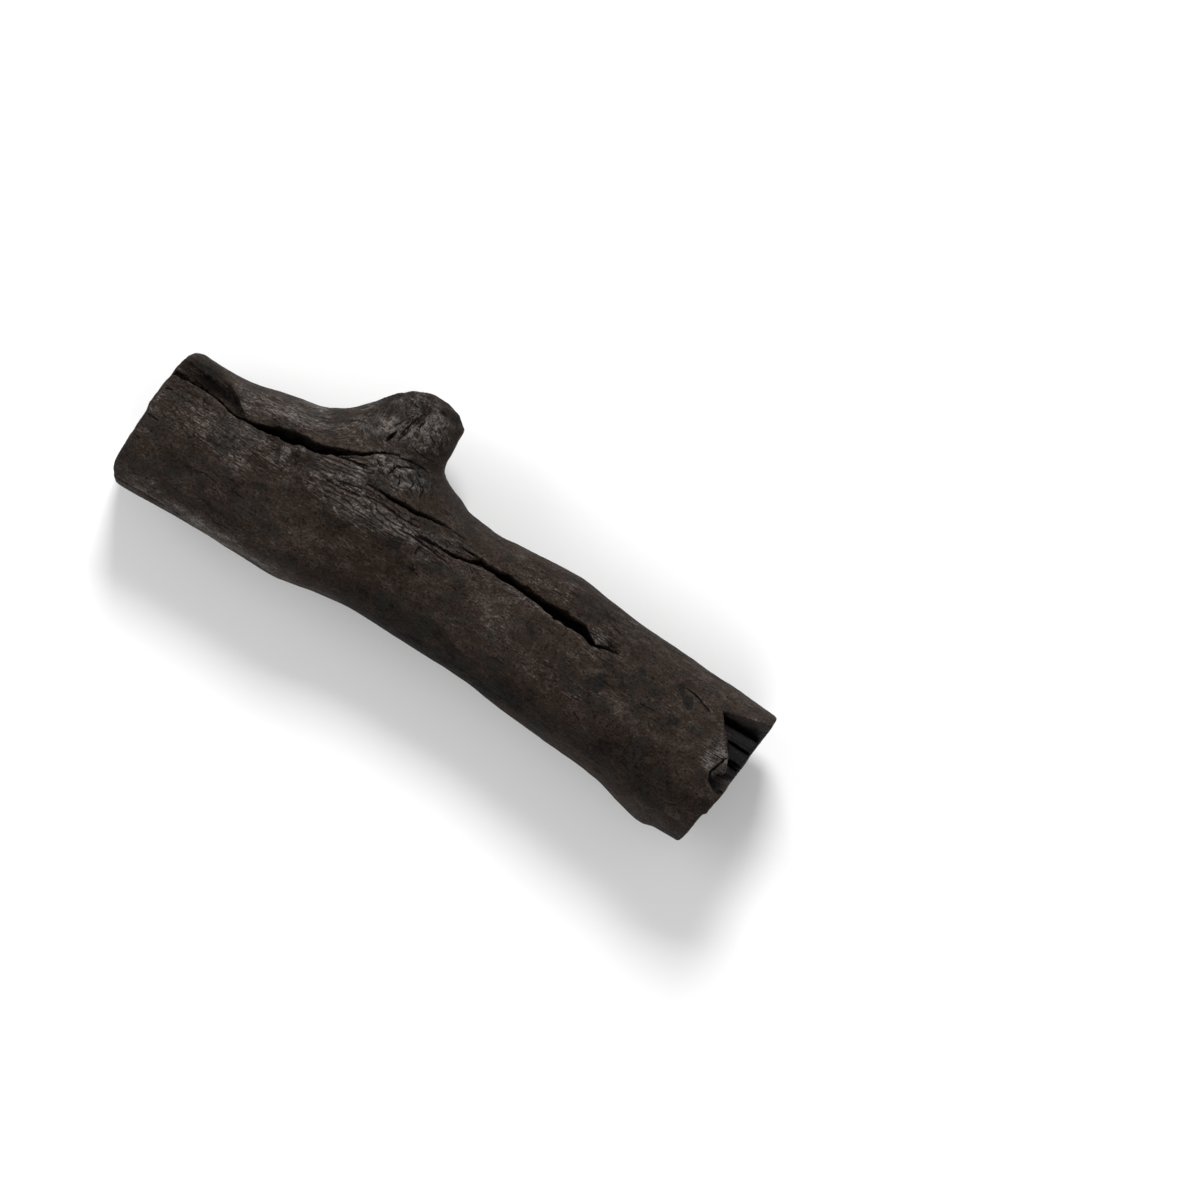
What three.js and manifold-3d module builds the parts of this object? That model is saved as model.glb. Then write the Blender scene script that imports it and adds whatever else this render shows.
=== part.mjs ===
// A lump of natural charcoal: one length of charred branch with the stub of a side branch.
// Millimetres. x runs along the branch, y towards the stub, and z up from the flat that it lies on.
// The shape is a solid field sampled on a grid, and its fissures and broken end are cut into that.
import * as THREE from "three";
import Module from "manifold-3d";

const wasm = await Module();
wasm.setup();

// Edges of the trunk seen from above, as [x, y], without the stub
const STUB_SIDE = [
  [-95, 21.4], [-85, 20.9], [-75, 21.4], [-65, 23.8], [-57, 25.4], [-45, 26], [-25, 26.2], [-15, 26],
  [-10, 25.2], [-6, 23.5], [0, 22.7], [5, 22.5], [10, 23.3], [20, 24.4], [30, 25.1], [40, 24], [50, 23.2],
  [70, 22.4], [95, 21.4],
];
const PLAIN_SIDE = [
  [-95, -21.1], [-85, -20.8], [-70, -19.9], [-55, -19.5], [-42, -19.4], [-36, -18.4], [-30, -17],
  [-20, -15.8], [0, -15.5], [16, -15.7], [30, -17], [48, -17.9], [62, -18.9], [70, -20.9],
  [77.7, -22.3], [82, -21.4], [95, -21],
];
// Its upper and under side seen from the plain side, as [x, z]
const UPPER_SIDE = [
  [-95, 39.6], [-78, 40.5], [-55, 41], [-30, 39.8], [-8, 38.1], [12, 37.6], [35, 38.6], [58, 39.8],
  [78, 41.1], [95, 40.2],
];
const UNDER_SIDE = [
  [-95, 1.4], [-78, 0.2], [-55, -0.6], [-20, -0.7], [20, -0.7], [50, -0.6], [75, 0.3], [95, 1.5],
];

const ROUNDNESS = 2.15;
const LOBE = 0.9;
const PAST_CUTS = 97;
const STUB_FILLET = 5;

// The stub's outline seen from above, as [x, y], from inside the trunk round its tip and back
const STUB_OUTLINE = [
  [-60, 0], [-57, 20], [-50.8, 27.2], [-46.9, 31.2], [-43.6, 35], [-40.9, 38.7], [-38.4, 41], [-35.7, 42.9],
  [-31.8, 44.8], [-28, 45.7], [-25, 44.9], [-22.3, 44.2], [-20.3, 42.8], [-18.7, 41.3], [-18.6, 38.5],
  [-18.2, 35], [-18.4, 31.5], [-17.6, 28.5], [-14.5, 24], [-13, 18], [-10, 0],
];
const STUB_EDGE = 11;
const STUB_MIDDLE = 20.5;
const STUB_ROOT = 20;
const STUB_DEPTH = 14.5;
const STUB_TAPER = 0.27;

// The saw cuts at the left end and at the right end seen from above, as [x, y]
const LEFT_CUT = [
  [-87, 25], [-90, 21], [-91.3, 20], [-92.3, 18.4], [-93, 15.7], [-93.6, 9.9], [-94, 4.9],
  [-94.3, 1.9], [-93.7, -0.3], [-93.9, -5], [-94, -10], [-93.9, -15], [-93.6, -16.8], [-93.1, -17.9],
  [-91.7, -20.3], [-88, -25],
];
const RIGHT_CUT = [
  [89.2, -25], [90, -18.5], [90.4, -15], [90.8, -11.2], [91.6, -10.7], [92, -7], [92.5, -4.9], [92.7, 0],
  [93.2, 5.4], [93.4, 10], [93.9, 14.5], [94.2, 19], [94.3, 30],
];

// Fissures seen from above, as [x, y, width, depth]
const FISSURES = [
  // the long fissure from the left end to the stub
  [
    [-98, 12.8, 1.6, 5], [-90, 13, 1.7, 5.5], [-84, 13.5, 1.8, 5.5], [-79, 13.4, 2, 5], [-75, 12.4, 2, 4],
    [-71.5, 11.9, 1.5, 3], [-68.5, 12.1, 1.1, 3], [-66, 12.7, 1.9, 4], [-63, 13.4, 2.4, 5],
    [-60, 14.5, 3.3, 6], [-56.5, 15, 4.3, 6.5], [-53, 16.1, 4, 6.5], [-50, 16.2, 3, 5.5],
    [-47, 17.2, 2.7, 5], [-43, 19, 1.9, 4], [-38.5, 21, 1.3, 3], [-35.5, 23.8, 0.8, 2],
    [-30, 26.3, 0.4, 0.8],
  ],
  // its branch
  [[-46, 16.6, 0.4, 1], [-42, 17.7, 0.7, 1.5], [-38, 18.5, 0.6, 1.3], [-35.5, 19.3, 0.3, 0.6]],
  // the short fissure below the stub
  [
    [-33, 15.1, 0.3, 0.8], [-28, 15.5, 0.7, 2], [-24, 15.6, 1.2, 3], [-17.5, 15.8, 1.1, 3],
    [-13.6, 16.7, 1, 2.5], [-9, 17.2, 0.7, 1.5], [-3, 16.8, 0.3, 0.6],
  ],
  // the fissure along the middle
  [
    [-14, 10.7, 0.4, 1], [-8, 11.2, 0.9, 2.5], [-3, 11.4, 1, 3], [1, 12.2, 1, 3], [4.5, 13.4, 1.6, 4],
    [9, 14, 2.1, 5.5], [12.3, 14.1, 2.7, 6.5], [17, 13.8, 2.2, 6], [23, 13.4, 2.5, 6], [27, 13.3, 3.5, 7],
    [32, 13.1, 3.9, 7], [36.5, 13.5, 3.9, 7], [39, 12.4, 2.3, 5], [42, 11.5, 1, 3], [45, 12.6, 0.8, 2],
    [48.5, 12.9, 0.4, 0.8],
  ],
  [[-3, 14.2, 0.3, 0.8], [0.5, 14.6, 0.7, 2], [3.5, 14.5, 0.9, 2.5], [6.5, 13.8, 0.9, 2]],
  // fine fissures beside the broken corner
  [[69, 15.1, 0.3, 0.6], [73, 14.7, 0.6, 1.2], [77.5, 13.1, 0.4, 0.8]],
  [
    [88.2, 5, 0.4, 1.5], [87.4, 2.6, 0.5, 2], [86.5, -0.5, 0.5, 2], [87.3, -2.5, 0.7, 2.2],
    [89.8, -3.9, 1, 2.5], [96, -5.2, 0.9, 2.5],
  ],
  // the hollow knot in the stub
  [[-34.9, 27.9, 0.5, 1], [-34.6, 29, 1.1, 3], [-34.3, 30.1, 1, 3], [-34, 31.2, 0.4, 1]],
];
// Bark peeled off beside the long fissure, as [x, y, width, depth]
const PEELED = [
  [-98, 15.6, 4.6, 1.6], [-90, 15.7, 4.6, 1.8], [-82, 15.8, 4.4, 2], [-77.5, 15.3, 4.2, 2],
  [-74, 13.8, 3.2, 1.6], [-71, 12.7, 1.6, 0.8],
];
// Fissures on the sides that are turned away, as [x, degrees round the branch, width, depth], 0 being +y
const HIDDEN_FISSURES = [
  [[-72, 196, 0.6, 1.5], [-50, 200, 1.6, 4], [-26, 197, 2, 5], [-4, 203, 1.4, 4], [16, 201, 0.5, 1.2]],
  [[24, 214, 0.5, 1.2], [46, 217, 1.7, 4.5], [66, 212, 2.2, 5.5], [82, 215, 1.8, 4.5], [99, 213, 1.6, 4.5]],
  [[-99, 318, 1.8, 5], [-78, 315, 2, 5], [-52, 320, 1.5, 4], [-30, 317, 0.5, 1.2]],
  [[8, 322, 0.5, 1.2], [30, 325, 1.6, 4], [52, 321, 1.4, 3.5], [70, 326, 0.5, 1.2]],
];
// Drying checks in the end faces, as [degrees round the branch, reach, width]
const LEFT_CHECKS = [[25, 19, 1.1], [132, 15, 1.2], [238, 16, 1.3], [312, 19, 1]];
const RIGHT_CHECKS = [[70, 13, 1.1], [172, 16, 1.2], [214, 18, 1.4], [292, 14, 1.1]];
const CHECK_DEPTH = 4;
const LEFT_FACE = -93.9;
const RIGHT_FACE = 92.7;
// How wide a fissure's floor is, as a share of its width at the skin
const FISSURE_FLOOR = 0.4;
const PEELED_FLOOR = 0.85;

// The broken corner at the right end: the edge of the break seen from above, as [x, y]
const BREAK_EDGE = [
  [80.5, 14.9], [81.2, 14], [82.9, 11.9], [85, 10], [86.5, 7.9], [88.1, 6], [89, 3.8], [89.7, 1.9],
  [89.5, 0.6], [88, -0.2], [87, -1.6], [87.8, -2.7], [90.2, -3.9], [100, -5.4], [100, 12.7], [85, 14.4],
  [82, 14.7],
];
// The steps that the break leaves across the grain, as [y, z]
const BREAK_STEPS = [
  [15, 24], [12.9, 24.5], [12.7, 31.2], [9.2, 32.2], [9.1, 28], [8.6, 28], [8.5, 33.2], [5.1, 34],
  [5, 31], [3.2, 31.3], [3.1, 35.2], [0, 35.8], [-0.1, 38.9], [-6, 39.1], [-6, 60], [15, 60],
];
// The slanting face of the break, from its point to past the end, as [x, foot's y and z, head's y and z]
const SLANT = [
  [79.2, 15.5, 36.4, 15.8, 36.8], [82, 14.6, 33.4, 17.2, 36.9], [85, 14.3, 31.2, 18.4, 36],
  [96, 13, 21.6, 20.3, 32.6],
];
const BREAK_FROM = 78;
const BREAK_TO = 100;
const BELOW_BREAK = 20;

const OUTSIDE = 60;
const CELL = new THREE.Vector3(4, 2.9, 2.9);
const LOWEST = new THREE.Vector3(-101, -28, -5.5);
const HIGHEST = new THREE.Vector3(102, 51, 47);

// A smooth curve through [place, value] pairs in rising order, level past both ends
function curve(points) {
  const slope = (i) => {
    const before = points[Math.max(i - 1, 0)];
    const after = points[Math.min(i + 1, points.length - 1)];
    return (after[1] - before[1]) / (after[0] - before[0]);
  };
  return (place) => {
    const next = points.findIndex((point) => point[0] > place);
    if (next === 0) return points[0][1];
    if (next < 0) return points[points.length - 1][1];
    const [x0, y0] = points[next - 1];
    const [x1, y1] = points[next];
    const span = x1 - x0;
    const t = (place - x0) / span;
    const rise = t * t * (3 - 2 * t);
    const leave = t * (1 - t) * (1 - t) * slope(next - 1);
    const arrive = t * t * (1 - t) * slope(next);
    return y0 + (y1 - y0) * rise + (leave - arrive) * span;
  };
}

const stubSide = curve(STUB_SIDE);
const plainSide = curve(PLAIN_SIDE);
const upperSide = curve(UPPER_SIDE);
const underSide = curve(UNDER_SIDE);

function smoothMin(a, b, width) {
  const share = Math.max(width - Math.abs(a - b), 0) / width;
  return Math.min(a, b) - (share * share * width) / 4;
}

// The middle of the trunk at x
function axisAt(x) {
  return new THREE.Vector3(x, (stubSide(x) + plainSide(x)) / 2, (upperSide(x) + underSide(x)) / 2);
}

// Each field is negative inside, and near the skin its size is the distance to it
function trunkField(point) {
  const { x } = point;
  const middle = axisAt(x);
  const halfWide = (stubSide(x) - plainSide(x)) / 2;
  const halfDeep = (upperSide(x) - underSide(x)) / 2;
  const across = (point.y - middle.y) / halfWide;
  const up = (point.z - middle.z) / halfDeep;
  const reach = (Math.abs(across) ** ROUNDNESS + Math.abs(up) ** ROUNDNESS) ** (1 / ROUNDNESS);
  const turn = Math.atan2(up, across);
  const lobes = Math.sin(3 * turn + x / 38) + 0.5 * Math.sin(5 * turn - x / 17);
  const lobeShare = up > 0 ? up * up : 0.3 * up * up;
  return (reach - 1) * Math.min(halfWide, halfDeep) - LOBE * lobeShare * lobes;
}

function distanceInside(outline, x, y) {
  let nearest = Infinity;
  let inside = false;
  outline.forEach(([x0, y0], i) => {
    const [x1, y1] = outline[(i + 1) % outline.length];
    const t = ((x - x0) * (x1 - x0) + (y - y0) * (y1 - y0)) / ((x1 - x0) ** 2 + (y1 - y0) ** 2);
    const near = Math.min(Math.max(t, 0), 1);
    nearest = Math.min(nearest, Math.hypot(x - x0 - near * (x1 - x0), y - y0 - near * (y1 - y0)));
    if (y0 > y !== y1 > y && x < x0 + ((y - y0) / (y1 - y0)) * (x1 - x0)) inside = !inside;
  });
  return inside ? nearest : -nearest;
}

function stubField(point) {
  const depth = STUB_DEPTH - STUB_TAPER * Math.max(point.y - STUB_ROOT, 0);
  const edge = STUB_EDGE - distanceInside(STUB_OUTLINE, point.x, point.y);
  return Math.hypot(Math.max(edge, 0), ((point.z - STUB_MIDDLE) * STUB_EDGE) / depth) - STUB_EDGE;
}

function branchField(point) {
  return smoothMin(trunkField(point), stubField(point), STUB_FILLET);
}

// The branch carries on past both saw cuts, and has flat ends there
function longField(point) {
  return Math.max(branchField(point), Math.abs(point.x) - PAST_CUTS);
}

function outward(point) {
  const step = 0.05;
  const slope = ["x", "y", "z"].map((axis) => {
    const ahead = point.clone();
    ahead[axis] += step;
    const behind = point.clone();
    behind[axis] -= step;
    return branchField(ahead) - branchField(behind);
  });
  return new THREE.Vector3(...slope).divideScalar(2 * step);
}

// Where a line from inside the branch comes out of its skin
function skinFrom(inside, direction) {
  let near = 0;
  let far = OUTSIDE;
  for (let i = 0; i < 30; i += 1) {
    const middle = (near + far) / 2;
    if (branchField(inside.clone().addScaledVector(direction, middle)) < 0) near = middle;
    else far = middle;
  }
  return inside.clone().addScaledVector(direction, near);
}

// A closed net of nearly square faces over the field's zero surface
function skinNet(field) {
  const size = HIGHEST.clone().sub(LOWEST).divide(CELL).ceil();
  const cornerAt = (i, j, k) => new THREE.Vector3(i, j, k).multiply(CELL).add(LOWEST);
  const index = (i, j, k) => (i * (size.y + 1) + j) * (size.z + 1) + k;
  const values = [];
  for (let i = 0; i <= size.x; i += 1) {
    for (let j = 0; j <= size.y; j += 1) {
      for (let k = 0; k <= size.z; k += 1) values.push(field(cornerAt(i, j, k)));
    }
  }
  const steps = [[1, 0, 0], [0, 1, 0], [0, 0, 1]];
  const corners = [0, 1, 2, 3, 4, 5, 6, 7].map((n) => [n & 1, (n >> 1) & 1, n >> 2]);

  const points = [];
  const pointOf = new Map();
  const placePoint = (i, j, k) => {
    const crossings = [];
    corners.forEach(([a, b, c]) => {
      steps.forEach(([p, q, r]) => {
        if (a + p > 1 || b + q > 1 || c + r > 1) return;
        const v0 = values[index(i + a, j + b, k + c)];
        const v1 = values[index(i + a + p, j + b + q, k + c + r)];
        if (v0 < 0 === v1 < 0) return;
        const t = v0 / (v0 - v1);
        crossings.push(cornerAt(i + a + p * t, j + b + q * t, k + c + r * t));
      });
    });
    const point = new THREE.Vector3();
    crossings.forEach((crossing) => point.add(crossing));
    point.divideScalar(crossings.length);
    for (let n = 0; n < 3; n += 1) {
      const slope = outward(point);
      point.addScaledVector(slope, -field(point) / slope.lengthSq());
    }
    pointOf.set(index(i, j, k), points.length);
    points.push(point);
  };
  const pointAt = (i, j, k) => {
    if (!pointOf.has(index(i, j, k))) placePoint(i, j, k);
    return pointOf.get(index(i, j, k));
  };

  const triangles = [];
  for (let i = 1; i < size.x; i += 1) {
    for (let j = 1; j < size.y; j += 1) {
      for (let k = 1; k < size.z; k += 1) {
        steps.forEach(([p, q, r]) => {
          const here = values[index(i, j, k)] < 0;
          if (here === values[index(i + p, j + q, k + r)] < 0) return;
          // the four cells round this grid edge, in turn about its direction
          const ring = [[0, 0], [1, 0], [1, 1], [0, 1]].map(([u, v]) => {
            const [a, b, c] = p ? [0, u, v] : q ? [v, 0, u] : [u, v, 0];
            return pointAt(i - a, j - b, k - c);
          });
          if (!here) ring.reverse();
          const [a, b, c, d] = ring;
          const crossways = points[a].distanceTo(points[c]) > points[b].distanceTo(points[d]);
          triangles.push(...(crossways ? [a, b, d, b, c, d] : [a, b, c, a, c, d]));
        });
      }
    }
  }
  return solidOf(points, triangles);
}

function solidOf(points, triangles) {
  const mesh = new wasm.Mesh({
    numProp: 3,
    vertProperties: new Float32Array(points.flatMap((point) => point.toArray())),
    triVerts: new Uint32Array(triangles),
  });
  return new wasm.Manifold(mesh);
}

// A closed solid through convex sections with the same number of points, each anticlockwise seen from ahead
function loft(sections) {
  const count = sections[0].length;
  const last = (sections.length - 1) * count;
  const triangles = [];
  for (let ring = 0; ring < last; ring += count) {
    for (let n = 0; n < count; n += 1) {
      const a = ring + n;
      const b = ring + ((n + 1) % count);
      triangles.push(a, b, b + count, a, b + count, a + count);
    }
  }
  for (let n = 1; n + 1 < count; n += 1) {
    triangles.push(0, n + 1, n);
    triangles.push(last, last + n, last + n + 1);
  }
  return solidOf(sections.flat(), triangles);
}

// An outline in x and y made into a prism from one height to another
function prism(outline, from, to) {
  const shape = new THREE.Shape(outline.map(([x, y]) => new THREE.Vector2(x, y)));
  const { shape: ring } = shape.extractPoints();
  if (THREE.ShapeUtils.isClockWise(ring)) ring.reverse();
  const points = [from, to].flatMap((z) => ring.map(({ x, y }) => new THREE.Vector3(x, y, z)));
  const count = ring.length;
  const triangles = [];
  THREE.ShapeUtils.triangulateShape(ring, []).forEach(([a, b, c]) => {
    triangles.push(a, c, b, a + count, b + count, c + count);
  });
  for (let n = 0; n < count; n += 1) {
    const next = (n + 1) % count;
    triangles.push(n, next, next + count, n, next + count, n + count);
  }
  return { points, triangles };
}

// A groove whose stations each give a point on the skin, the way out, the way across, a width and a depth
function groove(stations, floorShare) {
  const overshoot = 1.5;
  return loft(
    stations.map(({ point, out, across, width, depth }) => {
      const corner = (side, share, height) =>
        point.clone().addScaledVector(across, (side * share * width) / 2).addScaledVector(out, height);
      return [
        corner(-1, 1, overshoot), corner(-1, 1, 0), corner(-1, floorShare, -depth),
        corner(1, floorShare, -depth), corner(1, 1, 0), corner(1, 1, overshoot),
      ];
    }),
  );
}

// The way across a run of skin points at one of them
function acrossAt(points, n, out) {
  const ahead = points[Math.min(n + 1, points.length - 1)];
  const behind = points[Math.max(n - 1, 0)];
  return out.clone().cross(ahead.clone().sub(behind)).normalize();
}

function skinGroove(skinPoints, rows, floorShare) {
  const stations = skinPoints.map((point, n) => {
    const out = outward(point).normalize();
    const [, , width, depth] = rows[n];
    return { point, out, across: acrossAt(skinPoints, n, out), width, depth };
  });
  return groove(stations, floorShare);
}

function fissureSeenFromAbove(rows, floorShare) {
  const up = new THREE.Vector3(0, 0, 1);
  const skinPoints = rows.map(([x, y]) => skinFrom(new THREE.Vector3(x, y, axisAt(x).z), up));
  return skinGroove(skinPoints, rows, floorShare);
}

function fissureRoundBranch(rows, floorShare) {
  const skinPoints = rows.map(([x, degrees]) => {
    const turn = THREE.MathUtils.degToRad(degrees);
    const direction = new THREE.Vector3(0, Math.cos(turn), Math.sin(turn));
    return skinFrom(axisAt(x), direction);
  });
  return skinGroove(skinPoints, rows, floorShare);
}

function checkInEnd(faceX, side, [degrees, reach, width]) {
  const turn = THREE.MathUtils.degToRad(degrees);
  const direction = new THREE.Vector3(0, Math.cos(turn), Math.sin(turn));
  const out = new THREE.Vector3(side, 0, 0);
  const across = out.clone().cross(direction);
  const middle = axisAt(faceX);
  const stations = [0.05, 0.5, 0.85, 1].map((share, n) => ({
    point: middle.clone().setX(faceX).addScaledVector(direction, reach * share),
    out,
    across,
    width: width * [0.3, 1, 0.8, 0.2][n],
    depth: CHECK_DEPTH * [0.5, 1, 0.8, 0.3][n],
  }));
  return groove(stations, FISSURE_FLOOR);
}

function breakCutters() {
  const seenFromAbove = prism(BREAK_EDGE, BELOW_BREAK, OUTSIDE);
  const acrossGrain = prism(BREAK_STEPS, BREAK_FROM, BREAK_TO);
  // the steps are drawn in y and z, so their prism is turned to run along x
  acrossGrain.points.forEach((point) => point.set(point.z, point.x, point.y));
  const steps = solidOf(acrossGrain.points, acrossGrain.triangles);
  const edge = solidOf(seenFromAbove.points, seenFromAbove.triangles);
  const slant = loft(SLANT.map(([x, footY, footZ, headY, headZ]) => [
    new THREE.Vector3(x, footY, footZ),
    new THREE.Vector3(x, headY, headZ),
    new THREE.Vector3(x, footY, OUTSIDE),
  ]));
  return [steps.intersect(edge), slant];
}

function branchSolid() {
  const room = prism([...RIGHT_CUT, [0, OUTSIDE], ...LEFT_CUT, [0, -OUTSIDE]], 0, OUTSIDE);
  const cutters = [
    ...breakCutters(),
    fissureSeenFromAbove(PEELED, PEELED_FLOOR),
    ...FISSURES.map((rows) => fissureSeenFromAbove(rows, FISSURE_FLOOR)),
    ...HIDDEN_FISSURES.map((rows) => fissureRoundBranch(rows, FISSURE_FLOOR)),
    ...LEFT_CHECKS.map((check) => checkInEnd(LEFT_FACE, -1, check)),
    ...RIGHT_CHECKS.map((check) => checkInEnd(RIGHT_FACE, 1, check)),
  ];
  const sawn = skinNet(longField).intersect(solidOf(room.points, room.triangles));
  return cutters.reduce((solid, cutter) => solid.subtract(cutter), sawn);
}

function geometryOf(solid) {
  const mesh = solid.getMesh();
  const geometry = new THREE.BufferGeometry();
  geometry.setAttribute("position", new THREE.BufferAttribute(mesh.vertProperties, mesh.numProp));
  geometry.setIndex(new THREE.BufferAttribute(mesh.triVerts, 1));
  geometry.computeVertexNormals();
  return geometry;
}

const charred = new THREE.MeshStandardMaterial({ color: "#2e2825", roughness: 0.8, metalness: 0 });
const lump = new THREE.Mesh(geometryOf(branchSolid()), charred);
lump.name = "charcoal_lump";
// the middle of the box in y lies on the part's origin
lump.position.set(0, -11.5, 0);

const part = new THREE.Group();
part.add(lump);
export default part;
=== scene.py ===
# A lump of natural charcoal: one length of charred branch with the stub of a side branch.
# Its shape is worked out in millimetres in the branch's own axes, and moved to the frame, in metres, at
# the end.
import math

import bpy
import numpy as np
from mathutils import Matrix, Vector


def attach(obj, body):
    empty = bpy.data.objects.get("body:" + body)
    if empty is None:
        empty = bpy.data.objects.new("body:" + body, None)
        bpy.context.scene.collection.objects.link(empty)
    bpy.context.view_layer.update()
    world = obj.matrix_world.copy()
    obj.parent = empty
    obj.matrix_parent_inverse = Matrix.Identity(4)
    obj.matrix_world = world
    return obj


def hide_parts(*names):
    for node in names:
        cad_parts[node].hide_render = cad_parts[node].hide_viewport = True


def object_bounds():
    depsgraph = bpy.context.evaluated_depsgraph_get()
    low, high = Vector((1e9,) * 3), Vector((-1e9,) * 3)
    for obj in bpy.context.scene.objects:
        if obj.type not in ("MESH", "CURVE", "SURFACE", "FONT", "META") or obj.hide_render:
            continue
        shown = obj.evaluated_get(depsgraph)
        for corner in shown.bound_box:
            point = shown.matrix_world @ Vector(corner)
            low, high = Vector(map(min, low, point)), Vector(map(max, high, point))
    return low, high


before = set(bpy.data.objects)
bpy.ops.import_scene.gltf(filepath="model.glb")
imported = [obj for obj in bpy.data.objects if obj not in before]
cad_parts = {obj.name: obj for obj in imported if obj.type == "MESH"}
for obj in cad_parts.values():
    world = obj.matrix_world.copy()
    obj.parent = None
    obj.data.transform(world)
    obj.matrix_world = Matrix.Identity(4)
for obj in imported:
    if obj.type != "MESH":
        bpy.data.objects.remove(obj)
cad_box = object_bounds()

MM = 0.001
NODE = "charcoal_lump"
ORIGIN = np.array([0.0, 11.5, 0.0])
SPACING = 0.5
TRIANGLES = 190_000
SHARP_EDGE = math.radians(55)
# The room that the lump is worked out in, as its least and greatest x, y and z
ROOM = ((-96.6, 96.5), (-24.6, 48), (-2.1, 44))
PAST_SKIN = 60.0
HALVINGS = 30

# Edges of the trunk seen from above, as (x, y), without the stub
STUB_SIDE = [
    (-95, 21.4), (-85, 20.9), (-75, 21.4), (-65, 23.8), (-57, 25.4), (-45, 26), (-25, 26.2), (-15, 26),
    (-10, 25.2), (-6, 23.5), (0, 22.7), (5, 22.5), (10, 23.3), (20, 24.4), (30, 25.1), (40, 24),
    (50, 23.2), (70, 22.4), (95, 21.4),
]
PLAIN_SIDE = [
    (-95, -21.1), (-85, -20.8), (-70, -19.9), (-55, -19.5), (-42, -19.4), (-36, -18.4), (-30, -17),
    (-20, -15.8), (0, -15.5), (16, -15.7), (30, -17), (48, -17.9), (62, -18.9), (70, -20.9),
    (77.7, -22.3), (82, -21.4), (95, -21),
]
# Its upper and under side seen from the plain side, as (x, z)
UPPER_SIDE = [
    (-95, 39.6), (-78, 40.5), (-55, 41), (-30, 39.8), (-8, 38.1), (12, 37.6), (35, 38.6), (58, 39.8),
    (78, 41.1), (95, 40.2),
]
UNDER_SIDE = [
    (-95, 1.4), (-78, 0.2), (-55, -0.6), (-20, -0.7), (20, -0.7), (50, -0.6), (75, 0.3), (95, 1.5),
]
ROUNDNESS = 2.15
LOBE = 0.9
LEFT_RIM = 1.6
RIGHT_RIM = 0.8
STUB_FILLET = 5

# The stub's outline seen from above, as (x, y)
STUB_OUTLINE = [
    (-60, 0), (-57, 20), (-50.8, 27.2), (-46.9, 31.2), (-43.6, 35), (-40.9, 38.7), (-38.4, 41),
    (-35.7, 42.9), (-31.8, 44.8), (-28, 45.7), (-25, 44.9), (-22.3, 44.2), (-20.3, 42.8), (-18.7, 41.3),
    (-18.6, 38.5), (-18.2, 35), (-18.4, 31.5), (-17.6, 28.5), (-14.5, 24), (-13, 18), (-10, 0),
]
STUB_CENTRE = -29
STUB_EDGE = 11
STUB_MIDDLE = 20.5
STUB_ROOT = 20
STUB_DEPTH = 14.5
STUB_TAPER = 0.27

# The line that the grain follows on the stub's side, as (x, y), and the y up to which it runs straight
GRAIN_EDGE = [
    (-95, 20.9), (-75, 21.4), (-65, 23.8), (-55, 26.3), (-50, 28.7), (-45, 33), (-40.5, 38.4),
    (-35.5, 42.6), (-30, 45), (-24, 44), (-20, 40), (-17, 32), (-13, 27), (-8, 24.5), (0, 22.7),
    (10, 23.3), (20, 24.4), (30, 25.1), (40, 24), (50, 23.2), (70, 22.4), (95, 21.4),
]
GRAIN_STRAIGHT = 8
MEAN_RADIUS = 21

# The saw cuts at the left end and at the right end seen from above, as (y, x)
LEFT_CUT = [
    (-25, -88), (-20.3, -91.7), (-17.9, -93.1), (-16.8, -93.6), (-15, -93.9), (-10, -94), (-5, -93.9),
    (-0.3, -93.7), (1.9, -94.3), (4.9, -94), (9.9, -93.6), (15.7, -93), (18.4, -92.3), (20, -91.3),
    (21, -90), (25, -87),
]
RIGHT_CUT = [
    (-25, 89.2), (-18.5, 90), (-15, 90.4), (-11.2, 90.8), (-10.7, 91.6), (-7, 92), (-4.9, 92.5),
    (0, 92.7), (5.4, 93.2), (10, 93.4), (14.5, 93.9), (19, 94.2), (30, 94.3),
]

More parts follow.
